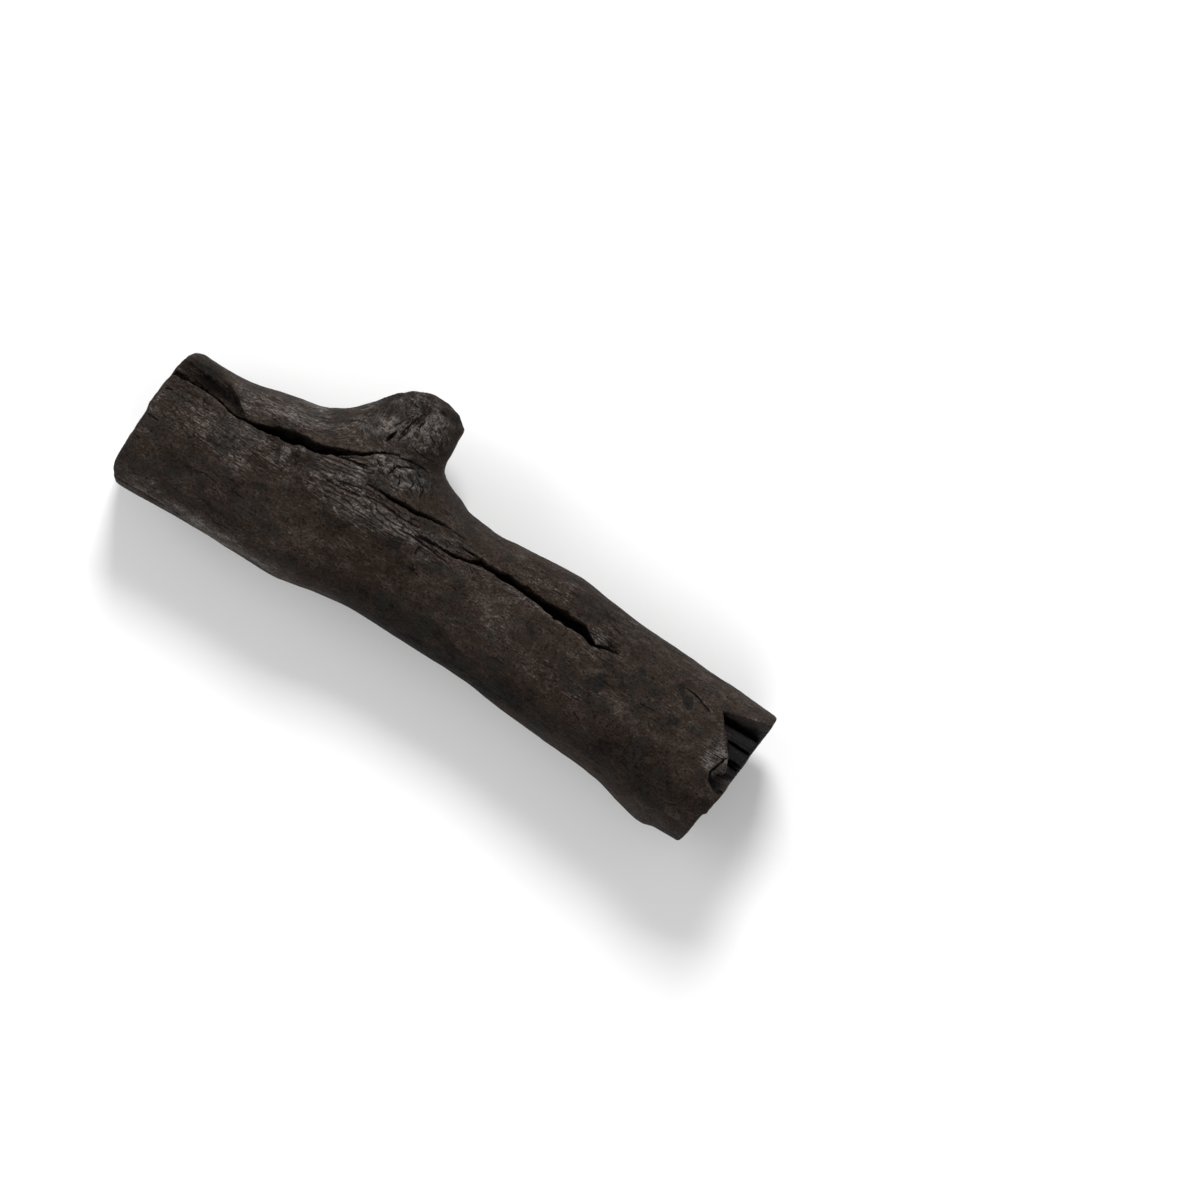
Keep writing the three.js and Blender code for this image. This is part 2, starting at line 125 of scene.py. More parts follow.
# Fissures seen from above, as (x, y, width, depth)
FISSURES = [
    # the long fissure from the left end to the stub
    [
        (-98, 12.8, 1.6, 5), (-90, 13, 1.7, 5.5), (-84, 13.5, 1.8, 5.5), (-79, 13.4, 2, 5),
        (-75, 12.4, 2, 4), (-71.5, 11.9, 1.5, 3), (-68.5, 12.1, 1.1, 3), (-66, 12.7, 1.9, 4),
        (-63, 13.4, 2.4, 5),
        (-60, 14.5, 3.3, 6), (-56.5, 15, 4.3, 6.5), (-53, 16.1, 4, 6.5), (-50, 16.2, 3, 5.5),
        (-47, 17.2, 2.7, 5), (-43, 19, 1.9, 4), (-38.5, 21, 1.3, 3), (-35.5, 23.8, 0.8, 2),
        (-30, 26.3, 0.4, 0.8),
    ],
    # its branch
    [(-46, 16.6, 0.4, 1), (-42, 17.7, 0.7, 1.5), (-38, 18.5, 0.6, 1.3), (-35.5, 19.3, 0.3, 0.6)],
    # the short fissure below the stub
    [
        (-33, 15.1, 0.3, 0.8), (-28, 15.5, 0.7, 2), (-24, 15.6, 1.2, 3), (-17.5, 15.8, 1.1, 3),
        (-13.6, 16.7, 1, 2.5), (-9, 17.2, 0.7, 1.5), (-3, 16.8, 0.3, 0.6),
    ],
    # the fissure along the middle
    [
        (-14, 10.7, 0.4, 1), (-8, 11.2, 0.9, 2.5), (-3, 11.4, 1, 3), (1, 12.2, 1, 3), (4.5, 13.4, 1.6, 4),
        (9, 14, 2.1, 5.5), (12.3, 14.1, 2.7, 6.5), (17, 13.8, 2.2, 6), (23, 13.4, 2.5, 6),
        (27, 13.3, 3.5, 7),
        (32, 13.1, 3.9, 7), (36.5, 13.5, 3.9, 7), (39, 12.4, 2.3, 5), (42, 11.5, 1, 3), (45, 12.6, 0.8, 2),
        (48.5, 12.9, 0.4, 0.8),
    ],
    [(-3, 14.2, 0.3, 0.8), (0.5, 14.6, 0.7, 2), (3.5, 14.5, 0.9, 2.5), (6.5, 13.8, 0.9, 2)],
    # fine fissures beside the broken corner
    [(69, 15.1, 0.3, 0.6), (73, 14.7, 0.6, 1.2), (77.5, 13.1, 0.4, 0.8)],
    [
        (88.2, 5, 0.4, 1.5), (87.4, 2.6, 0.5, 2), (86.5, -0.5, 0.5, 2), (87.3, -2.5, 0.7, 2.2),
        (89.8, -3.9, 1, 2.5), (96, -5.2, 0.9, 2.5),
    ],
    # the hollow knot in the stub
    [(-34.9, 27.9, 0.5, 1), (-34.6, 29, 1.1, 3), (-34.3, 30.1, 1, 3), (-34, 31.2, 0.4, 1)],
]
# Shallow creases, as the fissures
CREASES = [
    [(-31.4, 12.3, 0.3, 0.4), (-25.9, 12.8, 0.5, 0.7), (-21, 12.3, 0.4, 0.6), (-15, 12.7, 0.3, 0.3)],
    [
        (-19.5, 9.5, 0.2, 0.3), (-15, 9.9, 0.35, 0.5), (-11.8, 9.6, 0.4, 0.6), (-7, 9, 0.25, 0.4),
        (-3, 8.7, 0.15, 0.2),
    ],
    [(-43, 10.2, 0.3, 0.3), (-36.8, 10.7, 0.5, 0.6), (-32.7, 11.4, 0.3, 0.3)],
    [(-28.5, 23.2, 0.3, 0.4), (-26.3, 24.6, 0.6, 0.8), (-24, 24.9, 0.4, 0.5), (-22, 24.6, 0.3, 0.3)],
    [(-29.3, 26, 0.3, 0.3), (-25, 26.8, 0.5, 0.6), (-20.9, 26.6, 0.3, 0.3)],
    [(-29.5, 20.4, 0.3, 0.3), (-29.2, 22.6, 0.5, 0.6), (-28.4, 23.8, 0.3, 0.3)],
    [(-91, 14.6, 0.4, 0.6), (-86, 14.9, 0.6, 1), (-81, 15.2, 0.5, 0.8), (-77.5, 14.5, 0.3, 0.4)],
    [
        (-82, 18.2, 0.4, 0.5), (-78.5, 17.7, 0.9, 1), (-76, 16.3, 1.2, 1.4), (-73.5, 14.5, 1.2, 1.4),
        (-71, 12.9, 0.8, 1),
    ],
    [(-91.5, -19.8, 0.7, 0.6), (-86, -19.7, 0.9, 0.9), (-79, -19.4, 0.9, 0.8), (-71, -19.1, 0.5, 0.4)],
    [(-92.5, -0.5, 0.35, 0.5), (-89.5, -0.7, 0.15, 0.2)],
    [(-92.4, -7.2, 0.3, 0.4), (-91, -7.4, 0.15, 0.2)],
    [(-92.5, 7.7, 0.35, 0.5), (-90.2, 8.4, 0.15, 0.2)],
]
# Bark peeled off beside the long fissure, as the fissures
PEELED = [
    (-98, 15.6, 4.6, 1.6), (-90, 15.7, 4.6, 1.8), (-82, 15.8, 4.4, 2), (-77.5, 15.3, 4.2, 2),
    (-74, 13.8, 3.2, 1.6), (-71, 12.7, 1.6, 0.8),
]
# Fissures on the sides that are turned away, as (x, degrees round the branch, width, depth), 0 being +y
HIDDEN_FISSURES = [
    [(-72, 196, 0.6, 1.5), (-50, 200, 1.6, 4), (-26, 197, 2, 5), (-4, 203, 1.4, 4), (16, 201, 0.5, 1.2)],
    [
        (24, 214, 0.5, 1.2), (46, 217, 1.7, 4.5), (66, 212, 2.2, 5.5), (82, 215, 1.8, 4.5),
        (99, 213, 1.6, 4.5),
    ],
    [(-99, 318, 1.8, 5), (-78, 315, 2, 5), (-52, 320, 1.5, 4), (-30, 317, 0.5, 1.2)],
    [(8, 322, 0.5, 1.2), (30, 325, 1.6, 4), (52, 321, 1.4, 3.5), (70, 326, 0.5, 1.2)],
]
# Drying checks in the end faces, as (degrees round the branch, reach, width)
LEFT_CHECKS = [(25, 19, 1.1), (132, 15, 1.2), (238, 16, 1.3), (312, 19, 1)]
RIGHT_CHECKS = [(70, 13, 1.1), (172, 16, 1.2), (214, 18, 1.4), (292, 14, 1.1)]
CHECK_DEPTH = 4
LEFT_FACE = -93.9
RIGHT_FACE = 92.7
# How wide a groove still is at its floor, as a share of its width at the skin
FISSURE_FLOOR = 0.4
PEELED_FLOOR = 0.85
CUT_MARGIN = 3
FAR_FROM_GROOVE = 4.0

# The broken corner: its edge seen from above, its steps across the grain as (y, z), and its slanting face
# as (x, foot's y and z, head's y and z)
BREAK_EDGE = [
    (80.5, 14.9), (81.2, 14), (82.9, 11.9), (85, 10), (86.5, 7.9), (88.1, 6), (89, 3.8), (89.7, 1.9),
    (89.5, 0.6), (88, -0.2), (87, -1.6), (87.8, -2.7), (90.2, -3.9), (100, -5.4), (100, 12.7),
    (85, 14.4), (82, 14.7),
]
BREAK_STEPS = [
    (-6, 39.1), (-0.1, 38.9), (0, 35.8), (3.1, 35.2), (3.2, 31.3), (5, 31), (5.1, 34), (8.5, 33.2),
    (8.6, 28), (9.1, 28), (9.2, 32.2), (12.7, 31.2), (12.9, 24.5), (15, 24),
]
SLANT = [
    (79.2, 15.5, 36.4, 15.8, 36.8), (82, 14.6, 33.4, 17.2, 36.9), (85, 14.3, 31.2, 18.4, 36),
    (96, 13, 21.6, 20.3, 32.6),
]

# Patches of lighter and darker skin seen from above, partly the charcoal's own tones and partly painted
# light and shade: painted shade over the plain side and along its edge, painted shadow in the peeled valley
# under the plate's edge, painted highlights on the rims of the ends and edges, on the stub and on the
# broken corner; as (x, y, half length, half width, turn in degrees, lightness)
TONES_AND_PAINTED_LIGHT = [
    (0, -11, 46, 5, 0, -0.7), (66, -7, 18, 7, 0, -0.7), (-84, 17, 9, 2.3, 0, -0.8),
    (5, -14.6, 30, 1.3, 0, -1.4), (-55, -18.6, 18, 1.3, 0, 0.4), (-40, 31, 4, 5, 50, 0.9),
    (-27, 35, 5, 6, 0, 0.7), (-75.5, 14.8, 4.6, 1.3, -34, -2.6), (-81, 16.6, 6, 1.6, 0, -1),
    (-84, 15.4, 8, 1.8, 0, -1.2), (-70, 4, 19, 5, 0, 0.55), (-6, 20, 7, 3, 0, 0.4),
    (91.4, -2.1, 1.4, 2, 0, 2.4), (88.6, -1.6, 1.5, 1.2, 0, 2), (-93.4, 0, 1, 18, 0, 0.9),
    (-35, 40.5, 4.5, 4, 40, 1.5), (-30, 20.5, 11, 4.5, 18, 0.8), (-26, 22.5, 8, 5, 0, 1.9),
    (-26, 36, 5, 5, 0, 1.6), (-34, 34, 4, 6, -20, 1.1), (24, -13.4, 28, 1.6, 0, -0.8),
    (62, -15, 16, 2, -4, -0.5), (-58, 21.5, 17, 4, 14, 1.1), (-72, 17.8, 5, 2, -35, 0.9),
    (50, 20, 46, 3.6, -1, 0.42), (-28, 9.5, 20, 5, 0, 1.6), (-40, 15.5, 8, 3.5, 15, 1.2),
    (-72, 7.5, 18, 4, 0, 0.75), (-38, 33, 8, 6, 50, 0.9), (-27, 33, 5, 8, 0, 0.5),
    (-29, 42.5, 4, 2.2, 0, 0.6), (-25.5, 23.5, 5, 3, -20, 0.8), (-65, 1, 5.5, 2.2, 0, 0.6),
    (43, 9, 8, 3, 10, 0.5), (47.5, -2, 3, 1.4, 20, 0.5), (86, 3, 4.4, 3, -55, 1.7),
    (83.4, 9, 6, 1.8, -50, 0.8), (12, 4, 9, 1.2, -4, 0.25), (-66, -18.4, 30, 2, 0, 1.6),
    (78, -19.5, 12, 1.4, 0, 0.8), (-57, 10.5, 1.6, 2, 0, 1.2), (-6, 13, 7, 1.4, 8, 0.9),
    (20, 11.6, 24, 0.9, -1, 0.6), (80, 13.5, 6, 3, -30, 0.4), (88, 16.2, 6, 1.5, 14, 1.0),
    (43, 14.4, 4, 1.8, 0, 0.4), (-17, 4, 6, 5, -20, -0.6), (-56, -2, 5, 3.5, 0, -0.6),
    (20, -11.5, 62, 5, 0, -0.6), (47, 6, 9, 4, 20, -0.4), (-84, 17.6, 8, 2, 0, -1.4),
    (60, 8, 7, 3, 0, -0.4), (-23, 43, 3.4, 1.1, -14, -1.8), (90, -8.5, 1.8, 2.2, 0, -0.6),
    (-20, 33, 2, 6, 0, -0.4), (60, -8, 22, 7, 0, -0.25),
]
# Dark blue-black stains with crisp edges, as the tones
STAINS = [
    (68.3, 14, 1.4, 2, 15, 1.3), (71.3, 11.9, 1.3, 2.2, 15, 1.3), (56.9, 12.3, 1.9, 1.4, 0, 0.9),
    (70.2, 5.9, 2.2, 1.6, 30, 1.2), (-17.8, 5.8, 2.2, 1.8, -30, 0.75), (-14.2, 2.8, 2.8, 1.7, -40, 0.7),
    (-11.5, 8, 1.4, 1.6, 0, 0.7), (48, 3, 3.5, 3, 30, 0.7), (49, 9, 4, 2, 0, 0.6),
    (-57, -1, 3, 1.7, 20, 0.6), (-53.5, -2.8, 2.4, 1.4, -10, 0.6), (89.6, -8.6, 1.5, 1.6, 0, 0.7),
    (-23.5, 43, 2.8, 0.9, -14, 0.8), (62, -3, 2, 1.2, 10, 0.5), (26, 5, 3, 1.6, -20, 0.55),
    (-38, 2, 4, 1.5, 10, 0.5), (76, 3, 2.4, 1.6, 0, 0.5), (54, 6, 2.6, 1.5, -30, 0.6),
    (-70, -9, 3, 1.6, 15, 0.4), (10, -6, 3, 1.4, 0, 0.35), (80, -12, 2.6, 1.6, 0, 0.4),
    (34, 18.5, 3, 1.2, 0, 0.4),
]
# Crumbly stretches of the skin, as the tones
CRUMBLES = [
    (-32, 40.5, 8, 4, 10, 1.2), (-25, 23.5, 6.5, 3.6, -10, 1.2), (-54, 10.5, 8, 3, 10, 0.9),
    (42, 13.5, 5, 3, 0, 0.9), (-84, 14.5, 8, 2, 0, 1), (-31, 33, 6, 6, 0, 0.5),
    (-25, 9, 14, 4.5, 0, 0.3), (-24, 34, 4, 6, 0, 0.7), (-30, 21.5, 7, 4, 10, 0.6),
]
# Stretches with furrows along the grain, as the tones
FURROWED = [
    (-28, 9, 17, 4.4, 0, 1), (-42, 15.5, 7, 3, 15, 0.8), (-52, 21, 12, 3, 14, 0.3),
    (-84, 14.6, 8, 1.8, 0, 0.8), (43, 14, 5, 3, 0, 0.8), (-5, 14.4, 6, 1.5, 5, 0.7),
    (-8, 20, 5, 2, 0, 0.3), (-32, 19.5, 9, 3.6, 25, 0.6), (-23, 21.5, 6, 3, 0, 0.6),
]
# Swellings and hollows of the skin seen from above, as (x, y, half length, half width, turn in degrees,
# height)
SWELLINGS = [
    (-56, 10.3, 1.5, 2.3, 10, 0.55), (-52.3, 12.7, 2, 1.5, -15, 0.6), (-5, 14.5, 5, 1.1, 5, 0.5),
    (20, 11.7, 17, 0.9, -1, 0.35), (42, 13.6, 3.5, 1.6, -12, 0.35), (-35.2, 33.6, 3, 0.7, 62, -0.15),
    (-31.6, 33, 5, 0.7, 76, -0.2), (-33.6, 33.5, 3.6, 0.7, 72, 0.5), (-29, 36.5, 4, 0.9, 82, 0.6),
    (-34.5, 40.6, 2, 1.4, 30, 0.5), (-30.5, 42, 1.8, 1.2, -20, 0.45), (-38, 37.2, 2.2, 1.3, 50, 0.5),
    (-27, 40.2, 1.6, 1.2, 0, 0.4), (-36, 34.6, 1.8, 1.2, 60, 0.35), (-23.5, 36.8, 2.4, 1, -40, 0.35),
    (-22.5, 32.5, 2.2, 1, -50, 0.3), (-31, 21.5, 3, 0.8, 40, 0.4), (-33, 19.4, 3, 0.7, 35, 0.35),
    (-24.5, 24, 1.4, 0.8, 35, 0.5), (-22.6, 25.4, 1.2, 0.7, 20, 0.4), (-27.5, 22.6, 1.6, 0.7, 50, 0.35),
    (-26.3, 26.3, 3, 0.6, 8, -0.35), (9, 4.5, 6, 0.8, 0, 0.3), (16.3, 3, 4, 0.8, -30, 0.15),
    (21.5, 0, 3.6, 0.8, -36, 0.15), (-84, 17.6, 8, 1.8, 0, -0.5), (-85, 14.7, 6, 0.5, -1, 0.6),
    (68.3, 14, 1.2, 1.8, 15, -0.3), (-12, 7.4, 1.6, 2.2, 0, -0.25), (-23.5, 43, 3.4, 1, -14, -0.4),
    (-66, 9.5, 5, 1.5, -15, 0.3), (44.5, 4, 5, 1.2, 35, 0.3), (87, 4, 2.4, 1.4, -50, 0.25),
    (-60.5, 18.5, 9, 0.7, 14, 0.3),
]
# Hairline cracks seen from above, as (x, y) points
HAIRLINES = [
    [(-32.1, 37.5), (-33.7, 34.8), (-35.3, 32.2)],
    [(-30.3, 39), (-31.6, 35.6), (-32.5, 32.4), (-32.8, 30)],
    [(-31.2, 34.4), (-31.8, 31.5), (-32.2, 29.5)], [(-29.3, 38.1), (-29.7, 35.4)],
    [(-21.9, 37.5), (-20.4, 35.7)], [(-24, 36.9), (-21.9, 35.1), (-20.7, 33.6)],
    [(-27, 42.6), (-25.2, 41.7)], [(-36.5, 40.6), (-34.5, 39.9), (-32.5, 40)],
    [(-34.5, 42), (-32, 41.4), (-29.5, 42.2)], [(-27, 25.8), (-24.3, 25.5)],
    [(-30, 24.3), (-29.3, 21.6)], [(-27, 21.9), (-25.9, 20.1), (-25.7, 19.2)],
    [(-24.6, 24), (-22.5, 21.6), (-22.7, 20.1)], [(-22.2, 23.4), (-19.5, 21.9), (-18.6, 19.2)],
    [(-25.2, 18), (-28, 18.2)], [(-34.2, 22.2), (-32.1, 20.4), (-30, 19.2)],
    [(-37.8, 18), (-34.2, 18.6), (-31.5, 19.8)], [(-26, 23), (-24.2, 22.1)],
    [(-40, 11.8), (-37.3, 12.4), (-33, 13.4)], [(-11.8, 8.9), (-12.4, 7), (-12, 6.2)],
    [(38.7, 21.3), (39.5, 21)], [(40, 20.6), (41.5, 19.9)], [(47.3, 21.9), (48.5, 21.3)],
    [(6.4, -3), (8.6, -3.1)], [(-82, 9.9), (-80, 10.5)], [(-66, -3.6), (-62.7, -3.6)],
    [(-63, -5.9), (-58.5, -5.9)], [(-88, -16), (-83, -15.3)],
    [(-29.5, 33.2), (-29.2, 36.5), (-28.6, 39.5)], [(84.6, 3.9), (88.3, 4.1)],
    [(-26.5, 42.5), (-24, 42), (-20.5, 42.6)], [(-28, 30), (-24, 29.4), (-21, 29.8)],
    [(-26, 35.5), (-23.5, 34), (-20.5, 32)], [(-24.8, 38), (-22.6, 36)],
    [(44, 14.2), (46.5, 13.7), (48, 13.2)], [(20, -6.2), (24, -5.9)],
]
STRAY_HAIRLINES = 70
HAIRLINE_REACH = 1.4
HAIRLINE_HALF = 0.22

# Camera, in the photograph's own frame of 1200 by 1200, and the floor
PHOTO_WIDTH = 324 * MM
PHOTO_TURN = math.radians(32.54)
PHOTO_MIDDLE = (36.6, 22.5)
CAMERA_HEIGHT = 5
SILHOUETTE_HEIGHT = 20 * MM
SENSOR = 36
FLOOR_SIZE = 6


def curve(points, places):
    """A smooth curve through (place, value) points, read at places, level past both ends."""
    at, value = np.array(points, float).T
    before = np.maximum(np.arange(len(at)) - 1, 0)
    after = np.minimum(np.arange(len(at)) + 1, len(at) - 1)
    slope = (value[after] - value[before]) / (at[after] - at[before])
    places = np.clip(places, at[0], at[-1])
    n = np.clip(np.searchsorted(at, places, side="right") - 1, 0, len(at) - 2)
    span = at[n + 1] - at[n]
    t = (places - at[n]) / span
    rise = t * t * (3 - 2 * t)
    leave = t * (1 - t) ** 2 * slope[n]
    arrive = t * t * (1 - t) * slope[n + 1]
    return value[n] + (value[n + 1] - value[n]) * rise + (leave - arrive) * span


class Noise:
    """Smooth random values between about -1 and 1 over space, the same on each run."""

    SIZE = 64

    def __init__(self, seed):
        self.table = np.random.default_rng(seed).uniform(-1, 1, (self.SIZE,) * 3)

    def __call__(self, x, y, z):
        whole = [np.floor(a).astype(int) for a in (x, y, z)]
        share = [a - w for a, w in zip((x, y, z), whole)]
        share = [s * s * (3 - 2 * s) for s in share]
        total = 0
        for corner in range(8):
            step = [(corner >> n) & 1 for n in range(3)]
            weight = 1
            for s, one in zip(share, step):
                weight = weight * (s if one else 1 - s)
            index = tuple((w + one) % self.SIZE for w, one in zip(whole, step))
            total = total + weight * self.table[index]
        return total

    def layers(self, x, y, z, count):
        total = 0
        for n in range(count):
            total = total + self(x * 2**n + 7.3 * n, y * 2**n, z * 2**n) / 2**n
        return total


def smooth_min(a, b, width):
    share = np.maximum(width - np.abs(a - b), 0) / width
    return np.minimum(a, b) - share * share * width / 4


def smooth_max(a, b, width):
    return -smooth_min(-a, -b, width)


def smooth_step(value, low, high):
    t = np.clip((value - low) / (high - low), 0, 1)
    return t * t * (3 - 2 * t)


def axis_at(x):
    """The height and the place across of the trunk's middle at x."""
    y = (curve(STUB_SIDE, x) + curve(PLAIN_SIDE, x)) / 2
    z = (curve(UPPER_SIDE, x) + curve(UNDER_SIDE, x)) / 2
    return y, z


def trunk_field(x, y, z):
    middle_y, middle_z = axis_at(x)
    half_wide = (curve(STUB_SIDE, x) - curve(PLAIN_SIDE, x)) / 2
    half_deep = (curve(UPPER_SIDE, x) - curve(UNDER_SIDE, x)) / 2
    across = (y - middle_y) / half_wide
    up = (z - middle_z) / half_deep
    reach = (np.abs(across) ** ROUNDNESS + np.abs(up) ** ROUNDNESS) ** (1 / ROUNDNESS)
    turn = np.arctan2(up, across)
    lobes = np.sin(3 * turn + x / 38) + 0.5 * np.sin(5 * turn - x / 17)
    lobe_share = np.where(up > 0, 1, 0.3) * up * up
    return (reach - 1) * np.minimum(half_wide, half_deep) - LOBE * lobe_share * lobes


def distance_to_line(points, x, y):
    """How far (x, y) is from a line through points."""
    nearest = np.inf
    for (x0, y0), (x1, y1) in zip(points[:-1], points[1:]):
        t = ((x - x0) * (x1 - x0) + (y - y0) * (y1 - y0)) / ((x1 - x0) ** 2 + (y1 - y0) ** 2)
        t = np.clip(t, 0, 1)
        nearest = np.minimum(nearest, np.hypot(x - x0 - t * (x1 - x0), y - y0 - t * (y1 - y0)))
    return nearest


def distance_inside(outline, x, y):
    """How far (x, y) is inside a closed outline; negative outside it."""
    inside = np.zeros(np.broadcast(x, y).shape, bool)
    closed = outline + outline[:1]
    for (x0, y0), (x1, y1) in zip(closed[:-1], closed[1:]):
        if y0 != y1:
            inside ^= ((y0 > y) != (y1 > y)) & (x < x0 + (y - y0) / (y1 - y0) * (x1 - x0))
    return np.where(inside, 1, -1) * distance_to_line(closed, x, y)


def stub_field(x, y, z):
    depth = STUB_DEPTH - STUB_TAPER * np.maximum(y - STUB_ROOT, 0)
    edge = np.maximum(STUB_EDGE - distance_inside(STUB_OUTLINE, x, y), 0)
    return np.hypot(edge, (z - STUB_MIDDLE) * STUB_EDGE / depth) - STUB_EDGE


def branch_field(x, y, z):
    """Negative inside the branch before it is cut, and near its skin the distance to it in millimetres."""
    return smooth_min(trunk_field(x, y, z), stub_field(x, y, z), STUB_FILLET)


def outward(points):
    step = 0.05
    slope = []
    for axis in range(3):
        shift = np.zeros(3)
        shift[axis] = step
        slope.append(branch_field(*(points + shift).T) - branch_field(*(points - shift).T))
    slope = np.stack(slope, 1)
    return slope / np.linalg.norm(slope, axis=1, keepdims=True)


def skin_from(inside, direction):
    """Where lines from inside the branch come out of its skin."""
    near = np.zeros(len(inside))
    far = np.full(len(inside), PAST_SKIN)
    for _ in range(HALVINGS):
        middle = (near + far) / 2
        within = branch_field(*(inside + direction * middle[:, None]).T) < 0
        near = np.where(within, middle, near)
        far = np.where(within, far, middle)
    return inside + direction * near[:, None]


def skin_seen_from_above(x, y):
    return skin_from(np.stack([x, y, axis_at(x)[1]], 1), np.array([[0.0, 0.0, 1.0]]))


def skin_round_branch(x, degrees):
    turn = np.radians(degrees)
    direction = np.stack([np.zeros(len(x)), np.cos(turn), np.sin(turn)], 1)
    return skin_from(np.stack([x, *axis_at(x)], 1), direction)


def groove(points, out, width, depth, floor):
    """A groove's stations: where it is on the skin, the ways out and across, its width and its depth."""
    ahead = np.concatenate([points[1:], points[-1:]])
    behind = np.concatenate([points[:1], points[:-1]])
    across = np.cross(out, ahead - behind)
    across /= np.linalg.norm(across, axis=1, keepdims=True)
    return {"points": points, "out": out, "across": across, "width": width, "depth": depth, "floor": floor}


def skin_groove(rows, skin, floor):
    first, second, width, depth = np.array(rows, float).T
    points = skin(first, second)
    return groove(points, outward(points), width, depth, floor)


def check_in_end(face, side, degrees, reach, width):
    turn = math.radians(degrees)
    direction = np.array([0, math.cos(turn), math.sin(turn)])
    middle = np.array([face, *axis_at(face)])
    share = np.array([0.05, 0.5, 0.85, 1])
    points = middle + share[:, None] * reach * direction
    out = np.tile([side, 0.0, 0.0], (4, 1))
    widths = width * np.array([0.3, 1, 0.8, 0.2])
    return groove(points, out, widths, CHECK_DEPTH * np.array([0.5, 1, 0.8, 0.3]), FISSURE_FLOOR)


ragged = Noise(1)
wander = Noise(2)


def beside_groove(cut, n, points):
    """The signed distance from one stretch of a groove's inside, negative inside it."""
    start, end = cut["points"][n], cut["points"][n + 1]
    run = end - start
    length = np.linalg.norm(run)
    t = (points - start) @ run / length**2
    past = np.abs(t - np.clip(t, 0, 1)) * length
    t = np.clip(t, 0, 1)[:, None]

    def between(key):
        return cut[key][n] * (1 - t) + cut[key][n + 1] * t

    width, depth = between("width")[:, 0], between("depth")[:, 0]
    offset = points - start - t * run
    down = -np.sum(offset * between("out"), 1)
    side = np.sum(offset * between("across"), 1)
    x, y, z = points.T
    side = side + 0.3 * np.minimum(width, 1.2) * wander.layers(x / 2.6, y / 1.5, z / 1.5, 3)
    width = width * (1 + 0.2 * ragged.layers(x / 1.7, y / 1.7, z / 1.7, 2))
    depth = depth * (1 + 0.25 * ragged(x / 4, y / 2, z / 2))
    half = width / 2 * (1 - (1 - cut["floor"]) * np.clip(down / depth, 0, 1))
    return np.maximum(np.hypot(side, past) - half, np.maximum(down - depth, -2.5 - down))


def stretches(cuts):
    """Each stretch of the grooves, with the least and greatest point of the box that it reaches."""
    for cut in cuts:
        for n in range(len(cut["points"]) - 1):
            ends = cut["points"][n : n + 2]
            margin = cut["depth"][n : n + 2].max() + CUT_MARGIN
            yield cut, n, ends.min(0) - margin, ends.max(0) + margin


def carve(values, grid, cuts):
    """Cuts grooves into the field on the grid."""
    for cut, n, low, high in stretches(cuts):
        part = tuple(slice(*np.searchsorted(a, ends)) for a, ends in zip(grid, zip(low, high)))
        near = np.stack(np.meshgrid(*(a[s] for a, s in zip(grid, part)), indexing="ij"), -1)
        if near.size:
            distance = beside_groove(cut, n, near.reshape(-1, 3)).reshape(near.shape[:3])
            values[part] = np.maximum(values[part], -distance)


def break_distance(x, y, z):
    """The signed distance from the room of the broken corner, negative in it."""
    edge_x = x + 0.35 * ragged(x / 1.3, y / 1.3, z / 2)
    edge_y = y + 0.3 * wander(x / 2.5, y / 1.3, z / 2)
    seen_from_above = -distance_inside(BREAK_EDGE, edge_x, edge_y)
    steps = np.interp(y + 0.12 * ragged(x / 3, y, z), *np.array(BREAK_STEPS).T)
    steps = steps + 0.35 * wander(x / 6, y / 0.9, z / 3)
    stepped = np.maximum(seen_from_above, (steps - z) * 0.7)
    at, foot_y, foot_z, head_y, head_z = np.array(SLANT).T
    slope = np.interp(x, at, (head_z - foot_z) / (head_y - foot_y))
    foot_y, foot_z = np.interp(x, at, foot_y), np.interp(x, at, foot_z)
    under = (foot_z + (y - foot_y) * slope - z) / np.hypot(1, slope)
    under = under + 0.15 * wander(x / 5, y / 1.5, z / 1.5)
    slanted = np.maximum(np.maximum(under, foot_y - y), at[0] - x)
    return np.minimum(stepped, slanted)


def surface_net(values, low, spacing):
    """The points and four-sided faces of a closed net over the zero surface of a field on a grid."""
    inside = values < 0
    places, cells, forward = [], [], []
    for axis in range(3):
        first = tuple(slice(None, -1) if n == axis else slice(None) for n in range(3))
        second = tuple(slice(1, None) if n == axis else slice(None) for n in range(3))
        crossed = inside[first] != inside[second]
        a, b = values[first][crossed], values[second][crossed]
        edge = np.argwhere(crossed)
        place = edge.astype(float)
        place[:, axis] += a / (a - b)
        ring = np.repeat(edge[:, None], 4, 1)
        u, v = (axis + 1) % 3, (axis + 2) % 3
        ring[:, [1, 2], u] -= 1
        ring[:, [2, 3], v] -= 1
        places.append(place)
        cells.append(ring)
        forward.append(a < 0)
    places, cells, forward = map(np.concatenate, (places, cells, forward))
    flat = np.ravel_multi_index(cells.reshape(-1, 3).T, values.shape)
    used, corner = np.unique(flat, return_inverse=True)
    corner = corner.reshape(-1)
    count = np.bincount(corner)
    points = np.stack([np.bincount(corner, np.repeat(places[:, n], 4)) / count for n in range(3)], 1)
    faces = corner.reshape(-1, 4)
    faces[~forward] = faces[~forward][:, ::-1]
    return low + points * spacing, faces


def normals_of(points, faces):
    a, b, c, d = (points[faces[:, n]] for n in range(4))
    total = []
    for normal in np.cross(c - a, d - b).T:
        total.append(sum(np.bincount(faces[:, n], normal, len(points)) for n in range(4)))
    total = np.stack(total, 1)
    return total / np.linalg.norm(total, axis=1, keepdims=True)


